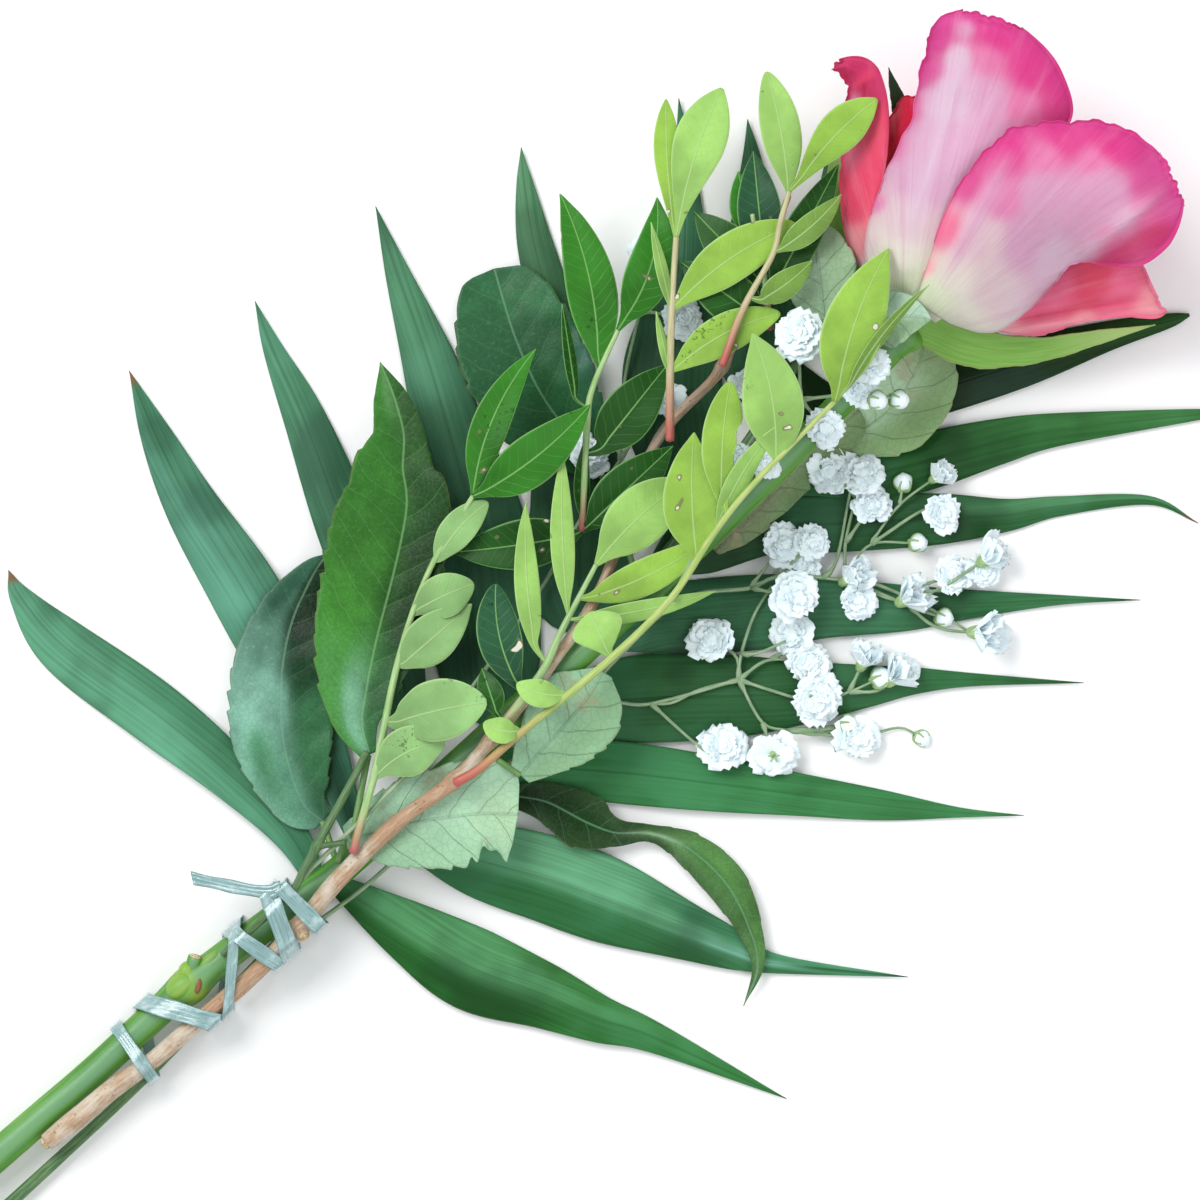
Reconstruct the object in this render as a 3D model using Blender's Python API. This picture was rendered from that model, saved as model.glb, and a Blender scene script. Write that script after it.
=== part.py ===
"""A single rose bouquet lying on its side, tied with plastic string.

Shapes are laid out as seen from above in units called px (0.2 mm each, u to the right, v
downward). Each new piece is laid on the pile of those below it, so that no two touch. The whole
is then turned so that its stems run along X, and written in metres.
"""

import math

import bmesh
import bpy
import numpy as np

PX = 0.2
TURN = math.radians(42)
CENTRE = (75.417, 78.514)
FLOOR = 0.15
GAP = 0.35
LEAF_HALF = 0.4
PETAL_HALF = 0.5
FILL_STEP = 0.4
STRIP_STEP = 0.5

for old in list(bpy.data.objects):
    bpy.data.objects.remove(old)
BOUQUET = bpy.data.collections.new("single_rose_bouquet")
bpy.context.scene.collection.children.link(BOUQUET)

# Colours
LEAF_GREEN = (0.10, 0.27, 0.08)
DARK_GREEN = (0.03, 0.13, 0.06)
PALE_GREEN = (0.36, 0.50, 0.30)
LIME = (0.30, 0.52, 0.10)
STEM_GREEN = (0.22, 0.45, 0.10)
PALM_GREEN = (0.02, 0.14, 0.08)
BARK = (0.48, 0.30, 0.20)
PINK = (0.88, 0.32, 0.50)
WHITE = (0.92, 0.93, 0.95)
STRING_BLUE = (0.60, 0.75, 0.76)


# Placing and meshes

def plan(u, v):
    return u * PX, (1200 - v) * PX


def on_plan(rows):
    """The plan places of rows that start with u and v."""
    return np.stack(plan(rows[:, 0], rows[:, 1]), 1)


def world(points):
    points = np.asarray(points, float)
    x, y = points[:, 0] - CENTRE[0], points[:, 1] - CENTRE[1]
    c, s = math.cos(TURN), math.sin(TURN)
    return np.stack([x * c + y * s, y * c - x * s, points[:, 2] - FLOOR], 1) * 0.001


def plan_again(points):
    points = np.asarray(points, float) * 1000
    c, s = math.cos(TURN), math.sin(TURN)
    x = points[:, 0] * c - points[:, 1] * s + CENTRE[0]
    y = points[:, 0] * s + points[:, 1] * c + CENTRE[1]
    return np.stack([x, y, points[:, 2] + FLOOR], 1)


def solid(points, faces):
    """A closed mesh object from plan points, its coinciding points made one."""
    mesh = bpy.data.meshes.new("piece")
    mesh.from_pydata([tuple(p) for p in world(points)], [], faces)
    work = bmesh.new()
    work.from_mesh(mesh)
    bmesh.ops.remove_doubles(work, verts=work.verts, dist=2e-6)
    bmesh.ops.recalc_face_normals(work, faces=work.faces)
    work.to_mesh(mesh)
    work.free()
    piece = bpy.data.objects.new("piece", mesh)
    BOUQUET.objects.link(piece)
    return piece


def sheet(grid, half):
    """A closed blade: a grid of points, thick in the middle and sharp at its edges."""
    rows, cols = grid.shape[:2]
    along = np.gradient(grid, axis=0)
    across = np.gradient(grid, axis=1)
    normal = np.cross(across, along)
    normal /= np.maximum(np.linalg.norm(normal, axis=2, keepdims=True), 1e-9)
    thick = np.full((rows, cols, 1), float(half))
    thick[0], thick[-1], thick[:, 0], thick[:, -1] = 0, 0, 0, 0
    upper, under = grid + normal * thick, grid - normal * thick
    points = np.concatenate([upper.reshape(-1, 3), under.reshape(-1, 3)])
    back = rows * cols
    faces = []
    for r in range(rows - 1):
        for c in range(cols - 1):
            a, b = r * cols + c, r * cols + c + 1
            d, e = a + cols, b + cols
            rising = (c < cols // 2) != (r == rows - 2)
            corners = ((a, b, e), (a, e, d)) if rising else ((a, b, d), (b, e, d))
            faces += list(corners) + [tuple(back + i for i in reversed(t)) for t in corners]
    return solid(points, faces)


def tube(points, radii, fineness=1):
    """A round stem through plan points, with its ends closed."""
    curve = bpy.data.curves.new("stem", "CURVE")
    curve.dimensions = "3D"
    curve.fill_mode = "FULL"
    curve.bevel_depth = 0.001
    curve.bevel_resolution = fineness
    curve.use_fill_caps = True
    spline = curve.splines.new("POLY")
    spline.points.add(len(points) - 1)
    for point, place, radius in zip(spline.points, world(points), radii):
        point.co = (*place, 1)
        point.radius = radius
    shape = bpy.data.objects.new("stem", curve)
    BOUQUET.objects.link(shape)
    bpy.context.view_layer.update()
    evaluated = shape.evaluated_get(bpy.context.evaluated_depsgraph_get())
    mesh = bpy.data.meshes.new_from_object(evaluated)
    bpy.data.objects.remove(shape)
    work = bmesh.new()
    work.from_mesh(mesh)
    bmesh.ops.remove_doubles(work, verts=work.verts, dist=1e-6)
    bmesh.ops.triangulate(work, faces=work.faces)
    bmesh.ops.recalc_face_normals(work, faces=work.faces)
    work.to_mesh(mesh)
    work.free()
    piece = bpy.data.objects.new("piece", mesh)
    BOUQUET.objects.link(piece)
    return piece


def rings(loops):
    """A closed body lofted through rings of points, its ends closed to their middles."""
    count = len(loops[0])
    points = [p for loop in loops for p in loop]
    faces = []
    for k in range(len(loops) - 1):
        for i in range(count):
            a, b = k * count + i, k * count + (i + 1) % count
            faces += [(a, b, b + count), (a, b + count, a + count)]
    for loop, at in ((loops[0], 0), (loops[-1], (len(loops) - 1) * count)):
        points.append(np.mean(loop, axis=0))
        faces += [(len(points) - 1, at + i, at + (i + 1) % count) for i in range(count)]
    return solid(points, faces)


def fuse(name, pieces, colour, solver="EXACT"):
    """One node from overlapping pieces, by one Boolean union."""
    body, rest = pieces[0], pieces[1:]
    if rest:
        group = bpy.data.collections.new(name + "_pieces")
        bpy.context.scene.collection.children.link(group)
        for piece in rest:
            BOUQUET.objects.unlink(piece)
            group.objects.link(piece)
        union = body.modifiers.new("union", "BOOLEAN")
        union.operation = "UNION"
        union.operand_type = "COLLECTION"
        union.collection = group
        union.solver = solver
        bpy.context.view_layer.objects.active = body
        bpy.ops.object.modifier_apply(modifier=union.name)
        for piece in rest:
            bpy.data.objects.remove(piece)
        bpy.data.collections.remove(group)
    body.name = body.data.name = name
    material = bpy.data.materials.new(name)
    material.use_nodes = True
    surface = material.node_tree.nodes["Principled BSDF"]
    surface.inputs["Base Color"].default_value = (*colour, 1)
    surface.inputs["Roughness"].default_value = 0.5
    body.data.materials.clear()
    body.data.materials.append(material)
    return body


# The pile, a map of how high the pieces laid so far reach

CELL = 0.5
PILE_FROM = (-90.0, -90.0)
PILE_CELLS = (720, 700)


class Pile:
    def __init__(self):
        self.top = np.zeros(PILE_CELLS)

    def cells(self, xy):
        i = ((xy[:, 0] - PILE_FROM[0]) / CELL).astype(int).clip(1, PILE_CELLS[0] - 2)
        j = ((xy[:, 1] - PILE_FROM[1]) / CELL).astype(int).clip(1, PILE_CELLS[1] - 2)
        return i, j

    def under(self, xy):
        i, j = self.cells(xy)
        return np.max([self.top[i + a, j + b] for a in (-1, 0, 1) for b in (-1, 0, 1)], axis=0)

    def raise_to(self, xy, z):
        i, j = self.cells(xy)
        np.maximum.at(self.top, (i, j), z)


PILE = Pile()


def body_points(body):
    """Plan points all over a body's surface."""
    mesh = body.data
    points = np.empty(len(mesh.vertices) * 3)
    mesh.vertices.foreach_get("co", points)
    points = plan_again(points.reshape(-1, 3))
    found = []
    mesh.calc_loop_triangles()
    for face in mesh.loop_triangles:
        a, b, c = (points[i] for i in face.vertices)
        longest = max(np.linalg.norm(b - a), np.linalg.norm(c - a), np.linalg.norm(c - b))
        steps = int(longest / FILL_STEP) + 1
        s, t = np.meshgrid(np.linspace(0, 1, steps + 1), np.linspace(0, 1, steps + 1))
        inside = s + t <= 1.0001
        s, t = s[inside][:, None], t[inside][:, None]
        found.append(a + (b - a) * s + (c - a) * t)
    return np.vstack(found)


def lay_fixed(body):
    points = body_points(body)
    PILE.raise_to(points[:, :2], points[:, 2])


def settle(body, sink=0.0):
    """Lowers a finished body until it nearly touches the pile, and adds it to the pile."""
    points = body_points(body)
    drop = (points[:, 2] - PILE.under(points[:, :2])).min() - GAP + sink
    for vertex in body.data.vertices:
        vertex.co.z -= drop * 0.001
    points[:, 2] -= drop
    PILE.raise_to(points[:, :2], points[:, 2])
    return body


def dense(quad, half):
    """Points all over a strip of a blade, with its lower side's height."""
    rows, cols = quad.shape[:2]
    span = np.linalg.norm(quad[-1] - quad[0], axis=1).max()
    wide = np.linalg.norm(quad[:, -1] - quad[:, 0], axis=1).max()
    n, m = int(span / STRIP_STEP) + 2, int(wide / STRIP_STEP) + 2
    s = np.linspace(0, 1, n)[:, None, None]
    t = np.linspace(0, cols - 1, m)
    left = np.minimum(t.astype(int), cols - 2)
    part = (t - left)[None, :, None]
    strip = quad[0][None] * (1 - s) + quad[1][None] * s
    spread = strip[:, left] * (1 - part) + strip[:, left + 1] * part
    spread[..., 2] -= half
    return spread.reshape(-1, 3)


def needs(grid, half, gap=GAP):
    """The least height of each row of a blade that clears the pile."""
    need = np.zeros(len(grid))
    for k in range(len(grid) - 1):
        spread = dense(grid[k:k + 2], half)
        least = (PILE.under(spread[:, :2]) - spread[:, 2]).max() + gap
        need[k:k + 2] = np.maximum(need[k:k + 2], least)
    return need


def eased(need, line, slope):
    """The lowest heights above the needs that rise and fall no faster than the slope."""
    run = np.concatenate([[0], np.cumsum(np.linalg.norm(np.diff(line[:, :2], axis=0), axis=1))])
    apart = np.abs(run[:, None] - run[None])
    return (need[None] - slope * apart).max(1), run


def lifted(grid, heights):
    grid = grid.copy()
    grid[..., 2] += np.asarray(heights)[:, None]
    return grid


# Blades and their outlines

def smooth(points, count):
    """Points spread evenly on a curve through the given ones."""
    points = np.asarray(points, float)
    ends = np.vstack([2 * points[0] - points[1], points, 2 * points[-1] - points[-2]])
    fine = []
    for k in range(1, len(ends) - 2):
        a, b, c, d = ends[k - 1:k + 3]
        t = np.linspace(0, 1, 12, endpoint=False)[:, None]
        fine.append(0.5 * (2 * b + (c - a) * t + (2 * a - 5 * b + 4 * c - d) * t ** 2
                           + (3 * b - a - 3 * c + d) * t ** 3))
    fine = np.vstack(fine + [points[-1:]])
    run = np.concatenate([[0], np.cumsum(np.linalg.norm(np.diff(fine[:, :2], axis=0), axis=1))])
    even = np.linspace(0, run[-1], count)
    return np.stack([np.interp(even, run, fine[:, k]) for k in range(points.shape[1])], 1)


def across_of(line):
    """The unit direction to the left of a plan line, at each of its points."""
    ahead = np.gradient(line[:, :2], axis=0)
    ahead /= np.maximum(np.linalg.norm(ahead, axis=1, keepdims=True), 1e-9)
    return np.stack([-ahead[:, 1], ahead[:, 0]], 1)


def blade(spine, fold=0.0, roll=0.0, cols=3):
    """A blade's grid from (u, v, width px) points, its heights counted from the pile."""
    spine = np.asarray(spine, float)
    line = on_plan(spine)
    side = across_of(line)
    reach = np.linspace(-1, 1, cols)
    half_width = spine[:, 2] * PX / 2
    grid = np.zeros((len(spine), cols, 3))
    out = reach[None, :, None] * half_width[:, None, None]
    grid[..., :2] = line[:, None] + side[:, None] * out
    grid[..., 2] = (np.abs(reach)[None] * fold + reach[None] * roll) * half_width[:, None]
    return grid


def stalk_needs(line, radius):
    """The least height of each point of a round stalk that clears the pile."""
    track = np.zeros((len(line), 3, 3))
    out = np.array([-1, 0, 1])[None, :, None] * np.broadcast_to(radius, len(line))[:, None, None]
    track[..., :2] = line[:, None] + across_of(line)[:, None] * out
    return needs(track, np.max(radius))


# Leaflet outlines: share of the length, share of the width
POINTED = ((0, 0.14), (0.14, 0.55), (0.36, 0.96), (0.6, 0.93), (0.84, 0.5), (1, 0.0))
BLUNT = ((0, 0.12), (0.16, 0.5), (0.38, 0.94), (0.64, 0.98), (0.88, 0.66), (1, 0.14))
OBOVATE = ((0, 0.1), (0.2, 0.36), (0.45, 0.8), (0.7, 1.0), (0.9, 0.76), (1, 0.2))


def lens(base, tip, width, bend, outline):
    """The spine of a leaflet, bent to one side by a share of its length."""
    base, tip = np.asarray(base, float), np.asarray(tip, float)
    side = np.array([tip[1] - base[1], base[0] - tip[0]])
    return [(*(base + (tip - base) * t + side * bend * 4 * t * (1 - t)), width * w) for t, w in outline]


def toothed(spine, teeth, depth=0.09):
    """A rose leaflet's spine, its width stepping in and out at each tooth."""
    line = smooth(spine, 2 * teeth + 1)
    for k in range(2, len(line) - 1, 2):
        line[k, 2] *= 1 - depth
        line[k, 2] -= 1.5
    return line


def frond(name, rachis, leaflets, colour, slope=0.35, count=12, rise=1.5, sink=0.0):
    """A compound leaf: a stalk of (u, v, radius mm) points with blades rooted on it."""
    stalk = smooth(rachis, count)
    line, radius = on_plan(stalk), stalk[:, 2]
    need = stalk_needs(line, radius)
    blades = []
    for spine, fold, roll in leaflets:
        spine = np.array(spine, float)
        steps = line[1:] - line[:-1]
        root = np.array(plan(*spine[0, :2]))
        share = (((root - line[:-1]) * steps).sum(1) / (steps ** 2).sum(1)).clip(0, 1)
        feet = line[:-1] + steps * share[:, None]
        k = int(np.linalg.norm(feet - root, axis=1).argmin())
        spine[0, :2] = feet[k][0] / PX, 1200 - feet[k][1] / PX
        grid = blade(spine, fold, roll)
        low, run = eased(needs(grid, LEAF_HALF), grid[:, grid.shape[1] // 2], slope)
        need[k:k + 2] = np.maximum(need[k:k + 2], low[0])
        blades.append((grid, low, run, k, share[k]))
    heights, _ = eased(need, line, 0.15)
    pieces = [tube(np.column_stack([line, heights]), radius)]
    for grid, low, run, k, share_k in blades:
        start = heights[k] * (1 - share_k) + heights[k + 1] * share_k
        own = start + rise * np.sin(np.pi * run / run[-1]) - 0.04 * run
        height = np.maximum(low, own)
        height[0] = start
        pieces.append(sheet(lifted(grid, height), LEAF_HALF))
    return settle(fuse(name, pieces, colour), sink)


# Palm frond, from (u, v, width px) points of each leaflet

PALM_FOLD = -0.18

def palm():
    leaflets = {
        "l1": [(325, 890, 14), (290, 835, 36), (230, 775, 51), (152, 712, 63), (63, 647, 56), (20, 598, 24),
               (7, 570, 0)],
        "l2": [(370, 855, 12), (320, 740, 48), (275, 650, 68), (240, 585, 70), (190, 505, 54),
               (155, 435, 32),
               (128, 370, 0)],
        "l3": [(425, 805, 12), (398, 660, 50), (350, 540, 60), (305, 421, 43), (272, 348, 20),
               (254, 300, 0)],
        "l4": [(500, 738, 40), (492, 680, 86), (490, 590, 84), (484, 520, 80), (458, 455, 72),
               (428, 360, 54),
               (398, 275, 26), (375, 205, 0)],
        "l5": [(585, 650, 44), (590, 590, 76), (590, 500, 66), (572, 420, 58), (548, 300, 46),
               (533, 235, 34),
               (525, 185, 18), (521, 146, 0)],
        "l6": [(690, 520, 30), (684, 450, 70), (678, 380, 80), (680, 320, 72), (686, 230, 40),
               (684, 150, 18),
               (679, 97, 0)],
        "l7": [(760, 425, 24), (756, 360, 60), (756, 290, 56), (754, 210, 38), (752, 155, 18),
               (748, 118, 0)],
        "l8": [(815, 335, 10), (828, 240, 30), (840, 150, 22), (849, 96, 0)],
        "r1": [(332, 888, 20), (408, 932, 62), (472, 970, 84), (544, 997, 66), (599, 1020, 48),
               (655, 1039, 31),
               (787, 1100, 0)],
        "r2": [(385, 842, 16), (470, 858, 72), (549, 880, 88), (611, 903, 85), (685, 932, 58),
               (740, 953, 38),
               (779, 965, 19), (909, 978, 0)],
        "r3": [(460, 775, 16), (540, 768, 52), (620, 773, 62), (713, 784, 56), (799, 795, 43),
               (885, 806, 30),
               (960, 813, 10), (1025, 816, 0)],
        "r4": [(535, 705, 16), (600, 700, 60), (660, 696, 78), (747, 695, 74), (801, 693, 64),
               (870, 686, 42),
               (916, 681, 27), (975, 680, 13), (1085, 683, 0)],
        "r5": [(595, 640, 26), (655, 615, 50), (702, 608, 55), (774, 606, 62), (828, 608, 58),
               (908, 608, 46),
               (975, 604, 28), (1060, 600, 10), (1142, 600, 0)],
        "r6": [(655, 566, 30), (700, 541, 52), (777, 525, 54), (828, 524, 57), (935, 519, 52),
               (1007, 515, 33),
               (1060, 506, 20), (1150, 500, 9), (1200, 523, 0)],
        "r7": [(745, 448, 26), (820, 482, 50), (880, 472, 56), (930, 460, 58), (1000, 441, 46),
               (1060, 429, 33),
               (1200, 414, 11), (1245, 411, 0)],
        "r8": [(795, 370, 12), (850, 420, 36), (900, 402, 48), (960, 382, 52), (1030, 360, 48),
               (1110, 335, 30),
               (1170, 320, 15), (1191, 314, 3)],
    }
    rachis = [(-299, 1488, 1.5), (13, 1200, 1.3), (129, 1093, 1.2), (200, 1022, 1.2), (335, 885, 1.3),
              (470, 765, 1.2), (600, 635, 1.1), (720, 480, 1.0), (790, 375, 0.9), (835, 290, 0.7)]
    return frond("palm_frond", rachis, [(spine, PALM_FOLD, 0.0) for spine in leaflets.values()], PALM_GREEN,
                 slope=0.12, count=16, rise=2.5)


def rose_leaf(name, spine, stalk, colour, fold=0.12, roll=0.0, teeth=11, sink=0.0):
    """A serrated rose leaflet with the short stalk that joins it to the rose's stem."""
    spine = toothed(spine, teeth)
    return frond(name, [(u, v, 0.7) for u, v in stalk], [(spine, fold, roll)], colour, slope=0.3, count=5,
                 rise=1.0, sink=sink)


# The rose's bloom, in px and mm of height

BLOOM_BASE = (922, 313, 22.0)
BLOOM_AHEAD = (math.cos(math.radians(54)) * 0.995, math.sin(math.radians(54)) * 0.995, 0.08)
BLOOM_SIDE = (math.sin(math.radians(54)), -math.cos(math.radians(54)), 0.0)
NECK_HEIGHT = 21.0
BUNDLE = np.array([0.74, 0.67])


def bloom_point(along, radius, angle):
    """A place in the bloom: mm along its axis, mm from it, and the angle from its upper side."""
    base = np.array([*plan(*BLOOM_BASE[:2]), BLOOM_BASE[2]])
    across = np.array(BLOOM_SIDE) * math.sin(angle) + np.array([0, 0, 0.86]) * math.cos(angle)
    return base + np.array(BLOOM_AHEAD) * along + across * radius


def outer_petal(rows, cols=5):
    """A petal from rows of (u, v, z) at its left and right edges and the bulge between them."""
    share = np.linspace(0, 1, cols)[:, None]
    grid = []
    for row in rows:
        left = np.array([*plan(*row[:2]), row[2]])
        right = np.array([*plan(*row[3:5]), row[5]])
        line = left + (right - left) * share
        line[:, 2:] += row[6] * 4 * share * (1 - share)
        grid.append(line)
    return sheet(np.array(grid), PETAL_HALF)


def cup_petal(middle, reach, length, radii, tuck, cols=5, rows=6):
    """A petal round the bloom's axis, with one edge tucked inside its neighbour's."""
    grid = np.zeros((rows, cols, 3))
    for r in range(rows):
        share = r / (rows - 1)
        wide = (0.45, 0.8, 1.0, 1.0, 0.85, 0.35)[r]
        radius = np.interp(share, np.linspace(0, 1, len(radii)), radii)
        for c in range(cols):
            turn = (2 * c / (cols - 1) - 1)
            grid[r, c] = bloom_point(length * share * (1 - 0.06 * abs(turn)), radius * (1 + tuck * turn),
                                     math.radians(middle + reach * wide * turn))
    grid[..., 2] = np.maximum(grid[..., 2], 0.9)
    return sheet(grid, PETAL_HALF)


def bloom():
    upper = [(893, 298, 24, 925, 306, 27, 1), (866, 262, 28, 948, 262, 34, 5),
             (871, 215, 31, 975, 215, 38, 7),
             (895, 155, 34, 1003, 172, 42, 7), (916, 106, 37, 1040, 150, 45, 6),
             (924, 62, 42, 1069, 118, 47, 5),
             (936, 28, 47, 1050, 70, 50, 4), (962, 16, 50, 1018, 32, 52, 1)]
    right = [(915, 306, 28, 945, 322, 24, 1), (926, 266, 36, 992, 333, 26, 6),
             (943, 218, 43, 1036, 302, 30, 8),
             (968, 173, 48, 1069, 265, 35, 8), (1002, 140, 51, 1100, 264, 40, 7),
             (1045, 126, 53, 1135, 266, 46, 5),
             (1102, 129, 54, 1165, 244, 51, 3), (1148, 151, 54, 1180, 203, 53, 1)]
    left = [(903, 306, 20, 922, 292, 24, 0), (857, 262, 20, 876, 250, 28, 1),
            (843, 215, 21, 872, 215, 31, 2),
            (843, 165, 23, 880, 168, 33, 2), (850, 118, 26, 888, 122, 35, 1), (846, 90, 29, 884, 88, 35, 1),
            (834, 70, 31, 862, 60, 33, 0)]
    inner = [(890, 292, 23, 915, 300, 26, 1), (876, 214, 25, 915, 216, 32, 2),
             (885, 157, 27, 935, 165, 35, 3),
             (890, 121, 28, 950, 125, 37, 3), (918, 93, 30, 965, 100, 38, 2)]
    lower = [(929, 305, 20, 952, 320, 19, 0), (990, 295, 24, 1032, 335, 18, 2),
             (1050, 270, 27, 1085, 320, 19, 3),
             (1105, 250, 30, 1127, 316, 21, 2), (1140, 262, 31, 1160, 317, 23, 1),
             (1148, 287, 30, 1166, 311, 26, 0)]
    pieces = [ball(bloom_point(5, 0, 0), (9, 6.5, 6.5))]
    pieces += [outer_petal(rows) for rows in (upper, right, left, inner, lower)]
    pieces += [cup_petal(angle, 50, 50, (3, 14, 20, 25, 29), 0.06) for angle in (150, 215)]
    pieces += [cup_petal(angle, 62, 44, (3, 11, 14.5, 15, 14), 0.1) for angle in (20, 140, 260)]
    pieces += [cup_petal(angle, 66, 42, (2.5, 8, 10.5, 10, 8), 0.12) for angle in (80, 200, 320)]
    pieces += [cup_petal(angle, 70, 40, (2, 5, 6.5, 5.5, 3), 0.15) for angle in (30, 150, 270)]
    return fuse("rose_bloom", pieces, PINK)


def ball(middle, radii, along=BLOOM_AHEAD, count=8, rows=6):
    """An egg with its long axis along the bloom's."""
    ahead = np.array(along) / np.linalg.norm(along)
    side = np.cross(ahead, [0, 0, 1])
    side /= np.linalg.norm(side)
    up = np.cross(side, ahead)
    loops = []
    for k in range(1, rows):
        angle = math.pi * k / rows
        ring = []
        for i in range(count):
            turn = 2 * math.pi * i / count
            out = side * radii[1] * math.cos(turn) + up * radii[2] * math.sin(turn)
            ring.append(middle - ahead * radii[0] * math.cos(angle) + out * math.sin(angle))
        loops.append(ring)
    return rings(loops)


def sepal(points, heights, turn):
    """A sepal from (u, v, width px) points, with its own heights and tilt."""
    grid = blade(points, 0.1, turn)
    return sheet(lifted(grid, heights), LEAF_HALF)


def rose_stem():
    """The stem, its node and stubs, the receptacle and the sepals."""
    way = [(-378, 1481, 3.2), (0, 1153, 3.15), (90, 1075, 3.1), (188, 986, 3.1), (300, 900, 3.0),
           (350, 862, 3.0),
           (500, 726, 2.9), (650, 590, 2.8), (790, 455, 2.7), (880, 362, 2.7), (903, 335, 2.8)]
    stalk = smooth(way, 14)
    line, radius = on_plan(stalk), stalk[:, 2]
    need = stalk_needs(line, radius)
    need[-1] = NECK_HEIGHT
    heights, _ = eased(need, line, 0.085)
    pieces = [tube(np.column_stack([line, heights]), radius)]

    def height(u, v):
        return heights[np.linalg.norm(line - plan(u, v), axis=1).argmin()]

    # Node with its trimmed stub, and three thorns past the photo's edge
    node, stub_foot, stub_end = (186, 984), (188, 978), (195, 957)
    middle = np.array([*plan(*node), height(*node) + 0.3])
    pieces.append(ball(middle, (5.5, 4.1, 3.6), (*BUNDLE, 0)))
    foot_height = height(*stub_foot)
    stub = np.array([[*plan(*stub_foot), foot_height + 1], [*plan(*stub_end), foot_height + 2.5]])
    pieces.append(tube(stub, (1.3, 1.5)))
    for u, v, du, dv in ((-120, 1257, -14, -26), (-230, 1353, 20, 24), (-50, 1194, -16, -20)):
        root = np.array([*plan(u, v), height(u, v) + 0.5])
        tip = np.array([*plan(u + du, v + dv), height(u, v) + 1.5])
        pieces.append(tube(np.array([root, (root + tip) / 2, tip]), (1.6, 1.1, 0.35)))
    # Receptacle under the petals
    end = np.array([*line[-1], heights[-1]])
    ahead = np.array(BLOOM_AHEAD)
    pieces.append(tube(np.array([end - ahead * 2, end + ahead * 0.5, end + ahead * 1.6]), (2.8, 4.4, 3.3)))
    lower = [(900, 338, 12), (945, 345, 20), (985, 352, 30), (1035, 350, 26), (1090, 339, 15),
             (1155, 325, 0)]
    pieces.append(sepal(lower, [20, 15.6, 14.6, 14.5, 15, 18], 0.5))
    left = [(903, 328, 14), (868, 292, 20), (843, 245, 22), (835, 190, 18), (840, 130, 12), (849, 96, 0)]
    pieces.append(sepal(left, [20, 18, 17.5, 17.5, 19, 21], -0.3))
    return fuse("rose_stem", pieces, STEM_GREEN, "MANIFOLD")


# Pistache twig and its compound leaves

def twig():
    way = [(46, 1143, 1.7), (75, 1120, 2.0), (115, 1087, 1.9), (150, 1062, 1.7), (200, 1020, 1.7),
           (250, 978, 1.7),
           (299, 927, 1.8), (340, 878, 1.7), (400, 820, 1.5), (455, 780, 1.4), (495, 735, 1.3),
           (545, 672, 1.2),
           (600, 590, 1.1), (655, 445, 1.0), (720, 370, 1.0), (743, 309, 0.8), (789, 195, 0.6)]
    stub_foot, stub_end = (299, 927), (304, 936)
    stalk = smooth(way, 22)
    line, radius = on_plan(stalk), stalk[:, 2]
    heights, _ = eased(stalk_needs(line, radius), line, 0.16)
    pieces = [tube(np.column_stack([line, heights]), radius)]
    k = int(np.linalg.norm(line - plan(*stub_foot), axis=1).argmin())
    pieces.append(tube(np.array([[*line[k], heights[k]], [*plan(*stub_end), heights[k] + 2.2]]), (1.3, 1.2)))
    return settle(fuse("pistache_twig", pieces, BARK))


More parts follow.
